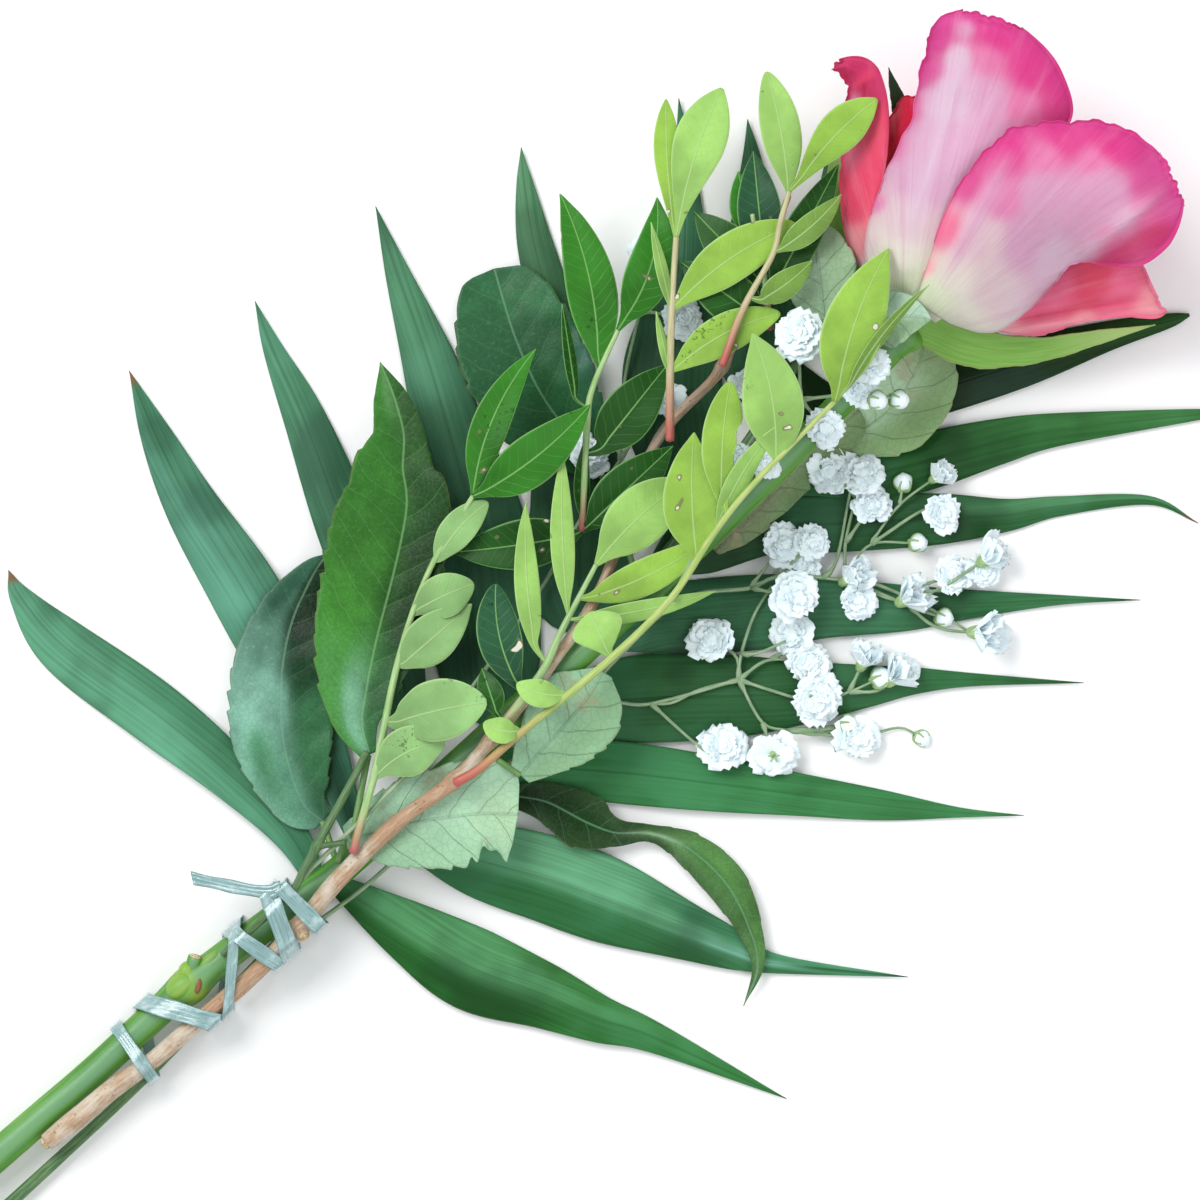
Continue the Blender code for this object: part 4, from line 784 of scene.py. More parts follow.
def palm():
    solid, build = Solid("palm_frond"), Build()
    line, radius = stalk_line(solid, PALM_RACHIS, 90)
    for shift, wide, start in ((-0.55, 0.62, 0), (0.5, 0.66, 0), (0.0, 0.6, 8)):
        strand = line[start:].copy()
        sway = 0.6 + 0.4 * np.sin(np.arange(90 - start) / 9 + shift)
        strand[:, :2] += across_of(line[start:]) * shift * sway[:, None]
        tube(build, strand, radius[start:] * wide, 12, kind=1, ident=shift)
    for name, spine in PALM_LEAFLETS.items():
        tints = [(*spot, np.array(tone) * (1.08, 1.14, 1.02)) for *spot, tone in PALM_TINTS[name]]
        dry = 1.0 if name in ("l1", "l2", "r6") else 0.0
        blade(build, rooted(spine, line), solid, rows=80, cols=21, fold=-0.18, thick=0.2, wave=0.35,
            waves=1.6, pleat=0.03, rib=0.22, mark=dry, ease=4, tints=tints)
    build.finish("palm_frond_leaflets", [PALM, PALM_STALK], "palm_leaf", "palm_frond")


# Rose leaves: spine, stalk, teeth, whether the pale side is up, wave, fold, share that is rounded off, tints;
# the tints paint a bluish sheen and the shade on a leaf's turned-away half as well as its green
ROSE_LEAVES = {
    "dark": ([(322, 822, 22), (300, 800, 62), (283, 745, 100), (280, 685, 104), (290, 625, 80),
        (312, 575, 36), (327, 553, 0)], [(322, 822), (338, 868)], 15, False, 0.5, 0.12, 0,
        ((0.18, 0.1, 0.12, (0.09, 0.25, 0.16)), (0.3, 0.5, 0.2, (0.06, 0.2, 0.1)),
        (0.47, 0.55, 0.3, (0.2, 0.42, 0.32)), (0.45, 0.0, 0.12, (0.14, 0.31, 0.23)),
        (0.62, 0.5, 0.2, (0.12, 0.28, 0.2)), (0.35, -0.6, 0.25, (0.03, 0.13, 0.05)),
        (0.6, -0.4, 0.25, (0.006, 0.04, 0.012)), (0.8, -0.3, 0.3, (0.004, 0.025, 0.006)),
        (0.82, 0.6, 0.2, (0.03, 0.11, 0.06)))),
    "high": ([(600, 470, 20), (575, 440, 80), (542, 395, 122), (518, 345, 126), (503, 300, 100),
        (494, 268, 60)], [(600, 470), (640, 585)], 10, False, 0.4, 0.14, 0.06,
        ((0.7, 0.5, 0.4, (0.035, 0.15, 0.06)), (0.6, -0.6, 0.4, (0.03, 0.13, 0.05)),
        (0.35, 0, 0.4, (0.01, 0.075, 0.02)), (0.5, -0.9, 0.2, (0.06, 0.19, 0.13)),
        (0.1, 0, 0.3, (0.008, 0.06, 0.014)))),
    "curled": ([(500, 795, 16), (545, 802, 40), (585, 822, 58), (615, 833, 30), (652, 834, 18),
        (690, 850, 36), (727, 885, 42), (750, 930, 26), (758, 968, 12), (744, 1007, 0)], [(500, 795),
        (470, 770)], 14, False, 0.7, 0.2, 0, ((0.1, 0, 0.3, (0.004, 0.02, 0.003)),
        (0.25, 0, 0.2, (0.005, 0.04, 0.003)), (0.44, 0, 0.14, (0.28, 0.42, 0.24)),
        (0.56, 0, 0.2, (0.045, 0.14, 0.03)), (0.7, 0.3, 0.2, (0.07, 0.19, 0.045)),
        (0.82, 0, 0.15, (0.05, 0.14, 0.03)), (0.95, 0, 0.12, (0.2, 0.34, 0.18)))),
    "near_bloom": ([(835, 440, 24), (860, 432, 60), (890, 410, 96), (915, 375, 92), (925, 345, 60),
        (930, 318, 20)], [(835, 440), (808, 446)], 7, True, 0.4, 0.16, 0,
        ((0.5, 0.4, 0.5, (0.42, 0.62, 0.4)), (0.4, -0.7, 0.4, (0.24, 0.4, 0.17)),
        (0.9, 0, 0.4, (0.28, 0.42, 0.2)))),
    "pale_a": ([(345, 838, 24), (385, 830, 76), (430, 820, 100), (475, 814, 110), (506, 814, 104),
        (518, 815, 92)], [(345, 838), (338, 862)], 10, True, 0.5, 0.16, 0.07,
        ((0.5, 0.4, 0.5, (0.33, 0.55, 0.37)), (0.4, -0.7, 0.5, (0.26, 0.46, 0.28)),
        (0.95, 0, 0.3, (0.38, 0.58, 0.36)))),
    "pale_b": ([(520, 775, 24), (540, 752, 60), (565, 725, 90), (588, 697, 84), (603, 672, 20)], [(520, 775),
        (498, 760)], 8, True, 0.4, 0.16, 0, ((0.5, 0.4, 0.5, (0.27, 0.48, 0.3)),
        (0.5, -0.7, 0.5, (0.21, 0.39, 0.21)))),
    "mid": ([(368, 755, 16), (357, 723, 48), (358, 688, 82), (366, 637, 106), (384, 560, 122),
        (395, 505, 114), (394, 468, 86), (398, 434, 54), (390, 396, 34), (380, 362, 0)], [(368, 755),
        (352, 838)], 17, False, 0.5, 0.2, 0, ((0.45, 0.6, 0.4, (0.038, 0.18, 0.02)),
        (0.75, 0.5, 0.3, (0.03, 0.15, 0.018)), (0.94, 0.3, 0.2, (0.07, 0.2, 0.06)),
        (0.5, -0.6, 0.45, (0.001, 0.04, 0.0)), (0.45, -0.1, 0.15, (0.012, 0.08, 0.006)),
        (0.1, 0.3, 0.2, (0.14, 0.33, 0.2)), (0.22, 0.7, 0.2, (0.05, 0.2, 0.04)),
        (0.15, -0.7, 0.25, (0.03, 0.12, 0.04)), (0.8, -0.6, 0.3, (0.016, 0.09, 0.01)))),
    "pale_c": ([(824, 330, 20), (822, 300, 60), (818, 265, 76), (815, 240, 50), (806, 222, 0)], [(824, 330),
        (835, 395)], 6, True, 0.4, 0.16, 0, ((0.5, 0.4, 0.5, (0.36, 0.55, 0.36)),
        (0.5, -0.7, 0.5, (0.3, 0.46, 0.27)))),
    "folded": ([(864, 324, 30), (885, 320, 58), (905, 317, 46), (920, 318, 24), (931, 320, 0)], [(864, 324),
        (862, 350)], 4, True, 0.3, 0.4, 0, ((0.5, 0.5, 0.5, (0.46, 0.66, 0.5)),
        (0.5, -0.7, 0.5, (0.28, 0.44, 0.26)))),
}


# Where along and on which side a leaf is bitten, how wide and how deep
PALE_BITES = ((0.8, -1, 0.04, 0.5), (0.88, -1, 0.045, 0.34), (0.71, -1, 0.025, 0.22))
CRUMPLED = [(716, 552, 8), (738, 530, 34), (768, 500, 44), (800, 466, 46), (832, 436, 50), (860, 410, 40)]


def rose_leaves():
    for name, (spine, stalk, teeth, pale, wave, fold, rounded, tints) in ROSE_LEAVES.items():
        solid, build = Solid("rose_leaf_" + name), Build()
        top = ROSE_GREEN if name == "mid" else ROSE_DARK
        tints = [(*spot, np.array(tone) * (1.06 if pale else 1.0)) for *spot, tone in tints]
        slot = "rose_leaf_underside" if pale else "rose_leaf" if name == "mid" else "rose_leaf_dark"
        line, _ = stalk_line(solid, [(u, v, 0.7) for u, v in stalk[::-1]], 14, skip=0)
        tube(build, line, np.linspace(0.62, 0.7, 14), 8, kind=2)
        blade(build, spine, solid, rows=8 * teeth + 1, cols=25, fold=fold, thick=0.17, teeth=teeth,
            depth=0.1, wave=wave, veins=(6.0, 0.75, 0.018, -0.05 if pale else 0.06), rib=0.25, kinds=(0, 1),
            rib_up=pale, ease=5, tints=tints, round_tip=rounded, skew=0.2 if name == "mid" else 0.0,
            bites=PALE_BITES if name == "pale_a" else ())
        if name == "near_bloom":
            blade(build, CRUMPLED, Solid("rose_stem"), rows=70, cols=21, fold=0.1, thick=0.17, teeth=6,
                depth=0.22, wave=0.9, waves=4, veins=(5.0, 0.75, 0.018, -0.08), rib=0.2, kinds=(0, 1),
                rib_up=True, ease=5, tints=((0.2, 0, 0.4, (0.16, 0.2, 0.1)),
                (0.6, 0.4, 0.4, (0.26, 0.36, 0.19)), (0.6, -0.6, 0.4, (0.16, 0.26, 0.11))), lift=3.6,
                round_tip=0.1)
        looks = [ROSE_UNDER, top] if pale else [top, ROSE_UNDER]
        build.finish("rose_leaf_" + name + "_blade", looks + [ROSE_STALK], slot, "rose_leaf_" + name)


# Rose bloom

# Where the bloom's axis starts (u, v and mm high), its direction in the plan, and the direction to its side
BLOOM_BASE = (922, 313, 22.0)
BLOOM_AHEAD = np.array([math.cos(math.radians(54)) * 0.995, math.sin(math.radians(54)) * 0.995, 0.08])
BLOOM_SIDE = np.array([math.sin(math.radians(54)), -math.cos(math.radians(54)), 0.0])
HOT_PINK = (0.58, 0.040, 0.215)
MAGENTA = (0.53, 0.050, 0.235)
RASPBERRY = (0.46, 0.030, 0.11)
CRIMSON = (0.46, 0.005, 0.035)
CORAL = (0.64, 0.055, 0.115)
BLUSH = (0.76, 0.13, 0.25)
SALMON = (0.74, 0.24, 0.27)
ROSE_PINK = (0.62, 0.17, 0.345)
LILAC = (0.55, 0.29, 0.43)
PALE_PINK = (0.62, 0.47, 0.49)
PALE_LILAC = (0.58, 0.42, 0.53)
PEACH = (0.88, 0.36, 0.40)
CREAM = (0.68, 0.65, 0.55)
FOOT_GREEN = (0.68, 0.74, 0.52)
RIM_BAND = 0.28


def curled(grid, left, right, top, steps=7, turn=125):
    """Rolls a petal's edges outward: radii in mm for each row's left and right edge and each column's top."""
    cols = grid.shape[1]

    def rolled(edge, out, face, radius):
        angles = np.radians(np.linspace(0, turn, steps + 1)[1:])
        radius = radius[:, None]
        return [edge + out * radius * math.sin(a) + face * radius * (1 - math.cos(a)) for a in angles]

    face = unit(np.cross(np.gradient(grid, axis=1), np.gradient(grid, axis=0)))
    out_left, out_right = unit(grid[:, 0] - grid[:, 1]), unit(grid[:, -1] - grid[:, -2])
    extra_left = rolled(grid[:, 0], out_left, face[:, 0], left)
    extra_right = rolled(grid[:, -1], out_right, face[:, -1], right)
    wide = np.stack(extra_left[::-1] + [grid[:, c] for c in range(cols)] + extra_right, 1)
    tops = np.concatenate([np.full(steps, top[0]), top, np.full(steps, top[-1])])
    out_top = unit(wide[-1] - wide[-2])
    faces = np.concatenate([np.repeat(face[-1:, 0], steps, 0), face[-1], np.repeat(face[-1:, -1], steps, 0)])
    extra_top = rolled(wide[-1], out_top, faces, tops)
    return np.concatenate([wide, np.stack(extra_top, 0)]), steps


def petal_place(grid):
    """The u and v of each point of a grid."""
    return grid[..., 0] / PX, PICTURE - grid[..., 1] / PX


def painted(u, v, anchors):
    """Colours at plan places, from a few anchors of u, v, reach px and colour."""
    weights = np.stack([1 / (0.5 + ((u - a) ** 2 + (v - b) ** 2) / reach ** 2) ** 2.6 for a, b, reach, _
        in anchors], -1)
    colours = np.array([colour for *_, colour in anchors])
    return (weights[..., None] * colours).sum(-2) / weights.sum(-1)[..., None]


def crease_of(u, v, start, end, wide):
    """How near each place is to a fold line, fading out at the line's ends."""
    start, way = np.array(start, float), np.array(end, float) - start
    share = ((u - start[0]) * way[0] + (v - start[1]) * way[1]) / (way @ way)
    gap = np.abs((u - start[0]) * way[1] - (v - start[1]) * way[0]) / np.linalg.norm(way)
    return np.exp(-gap / wide) * np.interp(share, (0, 0.25, 0.8, 1), (0, 1, 1, 0))


def outer_petal(build, rows, anchors, left, right, top, count=80, cols=45, puff=1.0, ident=0.1, creases=(),
                rim=MAGENTA):
    """A petal from rows of (u, v, z) at its left and right edges and the bulge between them."""
    fine = dense_rows(rows, count)
    share = np.linspace(0, 1, count)
    across = np.linspace(0, 1, cols)[None, :, None]
    one = np.stack([averaged(a, 2) for a in at(fine[:, 0], fine[:, 1], fine[:, 2])], 1)
    two = np.stack([averaged(a, 2) for a in at(fine[:, 3], fine[:, 4], fine[:, 5])], 1)
    span = unit(two - one)
    fade = np.interp(share, (0, 0.9, 1), (1, 1, 0.35))
    radius_left = np.interp(share, *zip(*left)) * fade
    radius_right = np.interp(share, *zip(*right)) * fade
    late = np.interp(share, (0.3, 0.6, 1), (0, 1, 1))
    ragged = late * (0.36 * np.sin(share * 23 + ident * 9) + 0.22 * np.sin(share * 61 + ident * 31)
                     + 0.14 * np.sin(share * 137 + ident * 57))
    one += span * (radius_left + ragged)[:, None]
    two -= span * (radius_right + ragged[::-1] * late)[:, None]
    grid = one[:, None] + (two - one)[:, None] * across
    arch = (4 * across * (1 - across)) ** 0.85
    grid[..., 2:] += fine[:, 6][:, None, None] * arch
    drift = np.sin(across[..., 0] * 9 + ident * 20 + share[:, None] * 3)
    drift *= np.sin(share[:, None] * 5 + ident * 11)
    grid[..., 2] += 0.4 * puff * drift * (share[:, None] > 0.1)
    for start, end, height, wide, _ in creases:
        grid[..., 2] += height * crease_of(*petal_place(grid), start, end, wide)
    top_radius = np.interp(np.linspace(-1, 1, cols), *zip(*top)) * np.interp(
        np.linspace(-1, 1, cols), (-1, -0.8, 0.8, 1), (0.35, 1, 1, 0.35))
    shift = unit(grid[-1] - grid[-4])
    ramp = (share.clip(0.9, 1) - 0.9)[:, None, None] * 10
    uneven = top_radius + 0.22 * np.sin(np.arange(cols) * 1.1 + ident * 40)
    uneven += 0.3 * np.sin(np.arange(cols) * 0.43)
    grid -= shift * uneven[:, None] * ramp
    frill = 1 + 0.28 * late * np.sin(share * 97 + ident * 13) * np.sin(share * 41 + ident * 5)
    grid, steps = curled(grid, radius_left * frill, radius_right * frill[::-1], top_radius)
    full_rows, full_cols = grid.shape[:2]
    s = np.concatenate([share, np.ones(steps)])
    t = np.concatenate([-np.ones(steps), np.linspace(-1, 1, cols), np.ones(steps)])
    u, v = petal_place(grid)
    tint = painted(u, v, anchors)
    # Each crease's colour paints light and shade along its fold: a painted highlight on a raised fold,
    # painted shade in a sunken one.
    for start, end, _, wide, colour in creases:
        line = 0.8 * crease_of(u, v, start, end, wide)[..., None]
        tint = tint * (1 - line) + np.array(colour) * line
    rolled = np.maximum((np.arange(full_rows) - count + 1).clip(0)[:, None], np.concatenate(
        [np.arange(steps, 0, -1), np.zeros(cols), np.arange(1, steps + 1)])) / steps
    lip = np.interp(np.abs(t), (1 - RIM_BAND, 1), (0, 1)) * np.interp(s, (0.4, 0.8), (0, 1))[:, None]
    lip = np.maximum(lip, np.interp(s, (1 - 0.5 * RIM_BAND, 1), (0, 1))[:, None])
    rosy = (0.55 * lip ** 1.5 + 0.25 * rolled)[..., None]
    tint = tint * (1 - rosy) + np.array(rim) * rosy
    fan = np.arctan2(BLOOM_BASE[1] + 30 - v, u - BLOOM_BASE[0] + 20)
    far = np.hypot(BLOOM_BASE[1] + 30 - v, u - BLOOM_BASE[0] + 20) / 280
    run = run_of(grid[:, full_cols // 2])[:, None]
    shell(build, grid, 0.17 * (0.4 + 0.6 * (1 - rolled)), (far, fan, ident), (run, 20 * t, rolled), tint=tint,
          flip=True)


def dense_rows(rows, count):
    """More rows on smooth curves through the given ones, evenly along the petal's middle."""
    rows = np.array(rows, float)
    middle = np.stack([(rows[:, 0] + rows[:, 3]) / 2, (rows[:, 1] + rows[:, 4]) / 2], 1)
    return smooth(np.column_stack([middle, rows]), count)[:, 2:]


def bloom_point(along, radius, angle):
    """Places in the bloom: mm along its axis, mm from it, and the angle from its upper side."""
    base = np.array(at(*BLOOM_BASE[:2], BLOOM_BASE[2]))
    across = BLOOM_SIDE * np.sin(angle)[..., None] + np.array([0, 0, 0.86]) * np.cos(angle)[..., None]
    return base + BLOOM_AHEAD * along[..., None] + across * radius[..., None]


def cup_petal(build, rim, body, middle, reach, length, radii, tuck, rows, cols, curl):
    """A petal round the bloom's axis, cream at its foot, with one edge tucked inside its neighbour's."""
    share, turn = np.linspace(0, 1, rows), np.linspace(-1, 1, cols)
    rise = share[:, None]
    ident = RANDOM.uniform()
    wide = np.interp(share, np.linspace(0, 1, 6), (0.45, 0.8, 1.0, 1.0, 0.85, 0.35))
    wide = np.where(share > 0.8, np.interp(share, (0.8, 0.9, 1), (0.85, 0.68, 0.35)), wide)
    radius = averaged(np.interp(share, np.linspace(0, 1, len(radii)), radii), 2)
    ruffle = 0.25 * np.sin(turn * 8 + ident * 30) * rise ** 3
    along = length * rise * (1 - 0.06 * np.abs(turn))
    angle = np.radians(middle + reach * wide[:, None] * turn)
    grid = bloom_point(along, radius[:, None] * (1 + tuck * turn) + ruffle, angle)
    grid[..., 2] = np.maximum(grid[..., 2], 0.7)
    edge = curl * share ** 2
    grid = grid[:, ::-1]
    grid, steps = curled(grid, edge * 0.6 + 0.05, edge * 0.6 + 0.05, np.full(cols, curl), 5, 170)
    s = np.concatenate([share, np.ones(steps)])
    t = np.concatenate([-np.ones(steps), turn, np.ones(steps)])
    near_rim = np.maximum(s[:, None] ** 4, np.abs(t) ** 6 * s[:, None])
    tint = (np.array(body) * (1 - near_rim[..., None]) + np.array(rim) * near_rim[..., None])
    low = np.exp(-(s / 0.22) ** 2)[:, None, None]
    tint = tint * (1 - low) + np.array(CREAM) * low
    run = run_of(grid[:, grid.shape[1] // 2])[:, None]
    shell(build, grid, 0.2, (s[:, None], t, ident), (run, 15 * t, 0.0), tint=tint, flip=True)


def bloom():
    outer, inner = Build(), Build()
    upper = [(893, 298, 24, 925, 306, 27, 1), (866, 262, 28, 948, 262, 34, 5),
        (871, 215, 31, 975, 215, 38, 7), (895, 155, 34, 1003, 172, 42, 7), (916, 106, 37, 1040, 150, 45, 6),
        (924, 62, 42, 1069, 118, 47, 5), (930, 34, 46, 1055, 72, 50, 4), (944, 21, 48, 1036, 48, 51, 3),
        (963, 14, 50, 1015, 29, 52, 1)]
    outer_petal(outer, upper, [(906, 290, 26, FOOT_GREEN), (898, 262, 26, CREAM), (905, 222, 26, PALE_PINK),
        (868, 245, 10, PALE_PINK), (876, 205, 9, ROSE_PINK), (894, 150, 10, ROSE_PINK),
        (910, 112, 10, ROSE_PINK), (920, 185, 26, LILAC), (950, 150, 26, LILAC), (985, 160, 24, LILAC),
        (948, 105, 20, PALE_LILAC), (957, 62, 10, PALE_LILAC), (985, 105, 20, LILAC), (1012, 145, 18, LILAC),
        (1022, 112, 16, ROSE_PINK), (985, 62, 14, ROSE_PINK), (1034, 72, 22, HOT_PINK),
        (1000, 36, 20, HOT_PINK), (1058, 112, 20, HOT_PINK), (1046, 142, 14, HOT_PINK),
        (934, 40, 14, MAGENTA), (926, 74, 12, MAGENTA), (972, 16, 12, MAGENTA), (964, 32, 7, LILAC)],
        left=((0, 0.1), (0.5, 0.3), (0.72, 0.7), (0.9, 0.9), (1, 0.7)),
        right=((0, 0.1), (0.6, 0.3), (1, 0.7)), top=((-1, 0.7), (0, 0.8), (1, 0.6)), ident=0.13,
        creases=(((900, 260), (968, 45), 0.9, 14, PALE_LILAC),))
    right = [(915, 306, 28, 945, 322, 24, 1), (926, 266, 36, 992, 333, 26, 6),
        (943, 218, 43, 1036, 302, 30, 8), (968, 173, 48, 1069, 265, 35, 8),
        (1002, 140, 51, 1100, 264, 40, 7), (1045, 126, 53, 1135, 266, 46, 5),
        (1102, 129, 54, 1160, 250, 50, 4), (1136, 143, 54, 1174, 228, 52, 2),
        (1158, 158, 54, 1180, 203, 53, 1)]
    outer_petal(outer, right, [(934, 304, 22, FOOT_GREEN), (962, 316, 24, CREAM), (958, 280, 20, CREAM),
        (985, 290, 26, PALE_PINK), (924, 268, 8, PEACH), (944, 232, 14, BLUSH), (966, 186, 13, HOT_PINK),
        (984, 240, 22, PALE_PINK), (1000, 205, 18, ROSE_PINK), (1020, 245, 24, LILAC),
        (1052, 262, 20, PALE_LILAC), (1040, 200, 22, LILAC), (1075, 215, 22, LILAC), (1100, 190, 18, LILAC),
        (1110, 216, 12, LILAC), (1040, 160, 14, ROSE_PINK), (1000, 160, 20, HOT_PINK),
        (1062, 138, 18, HOT_PINK), (1112, 146, 20, HOT_PINK), (1090, 165, 12, ROSE_PINK),
        (1150, 178, 20, MAGENTA), (1168, 205, 16, MAGENTA), (1145, 218, 12, HOT_PINK),
        (1154, 240, 14, RASPBERRY), (1115, 262, 12, RASPBERRY), (1108, 240, 10, HOT_PINK)],
        left=((0, 0.1), (0.3, 0.3), (0.6, 0.6), (1, 0.8)),
        right=((0, 0.1), (0.5, 0.3), (0.8, 0.8), (1, 0.9)), top=((-1, 0.8), (0, 0.8), (1, 0.9)), ident=0.37,
        creases=(((985, 330), (1165, 190), 2.0, 9, PALE_LILAC),
        ((1020, 310), (1150, 232), -0.9, 8, RASPBERRY), ((940, 290), (1010, 150), 0.7, 12, LILAC)))
    left = [(903, 306, 20, 922, 292, 24, 0), (857, 262, 20, 876, 250, 28, 1), (843, 215, 21, 872, 215, 31, 2),
            (843, 165, 23, 884, 168, 33, 2), (850, 122, 26, 888, 124, 35, 1), (850, 96, 29, 884, 90, 35, 1),
            (846, 82, 30, 872, 64, 35, 1), (838, 76, 31, 854, 59, 34, 1), (832, 70, 31, 838, 61, 33, 0)]
    outer_petal(outer, left, [(905, 300, 20, CREAM), (872, 268, 14, PALE_PINK), (860, 244, 18, SALMON),
        (852, 205, 20, CORAL), (866, 170, 22, CORAL), (852, 160, 12, BLUSH), (872, 125, 18, CORAL),
        (872, 90, 14, RASPBERRY), (848, 70, 14, RASPBERRY), (856, 104, 8, ROSE_PINK)],
        left=((0, 0.1), (0.5, 0.4), (1, 0.5)), right=((0, 0.1), (0.5, 0.3), (1, 0.4)),
        top=((-1, 0.4), (1, 0.4)), cols=25, ident=0.58, puff=0.4, rim=RASPBERRY,
        creases=(((860, 150), (866, 78), -0.9, 3, RASPBERRY), ((848, 92), (876, 72), 0.6, 3, CORAL)))
    back = [(890, 292, 23, 915, 300, 26, 1), (876, 214, 25, 915, 216, 32, 2), (884, 157, 27, 935, 165, 35, 3),
            (888, 121, 28, 950, 125, 37, 3), (905, 96, 30, 965, 90, 38, 2)]
    outer_petal(outer, back, [(880, 250, 40, CORAL), (900, 130, 60, CRIMSON), (930, 100, 40, CRIMSON)],
        left=((0, 0.1), (1, 0.3)), right=((0, 0.1), (1, 0.3)), top=((-1, 0.3), (1, 0.3)), cols=25, count=48,
        ident=0.71, puff=0.5, rim=CRIMSON)
    lower = [(929, 305, 20, 952, 320, 19, 0), (990, 295, 24, 1032, 335, 18, 2),
        (1050, 270, 27, 1085, 320, 19, 3), (1105, 250, 30, 1127, 316, 21, 2),
        (1140, 262, 31, 1160, 317, 23, 1), (1150, 290, 30, 1166, 311, 26, 0)]
    outer_petal(outer, lower, [
        (948, 312, 20, CREAM), (1000, 326, 18, PEACH), (1035, 306, 20, BLUSH), (1058, 282, 16, BLUSH),
        (1090, 282, 20, CORAL), (1125, 284, 16, BLUSH), (1150, 302, 12, PEACH), (1110, 308, 12, BLUSH),
        (1085, 320, 8, PEACH)],
        left=((0, 0.1), (1, 0.4)), right=((0, 0.1), (0.5, 0.3), (1, 0.5)), top=((-1, 0.4), (1, 0.5)), cols=27,
        count=56, ident=0.86, puff=0.6, rim=BLUSH,
        creases=(((985, 332), (1165, 310), 1.4, 4, PEACH), ((1000, 322), (1150, 296), -1.6, 5, CORAL)))
    for angle in (150, 215):
        cup_petal(outer, HOT_PINK, ROSE_PINK, angle, 50, 50, (3, 14, 20, 25, 29), 0.06, 44, 41, 1.3)
    for first, *ring in ((20, 62, 44, (3, 11, 14.5, 15, 14), 0.1, 30, 27, 0.9),
                         (80, 66, 42, (2.5, 8, 10.5, 10, 8), 0.12, 30, 27, 0.9),
                         (30, 70, 40, (2, 5, 6.5, 5.5, 3), 0.15, 24, 21, 0.6)):
        for angle in (first, first + 120, first + 240):
            cup_petal(inner, CRIMSON, HOT_PINK, angle, *ring)
    outer.finish("rose_petals_outer", [PETAL], "petal", "rose_bloom")
    inner.finish("rose_petals_inner", [PETAL], "petal", "rose_bloom")


# Rose stem

def egg(build, middle, radii, ahead, sides=14, rows=10, mark=0.0):
    """A smooth egg along a direction."""
    ahead = unit(np.array(ahead, float))
    angles = np.linspace(0.08, math.pi - 0.08, rows)
    line = np.array(middle) - ahead * radii[0] * np.cos(angles)[:, None]
    tube(build, line, radii[1] * np.sin(angles), sides, mark=mark)


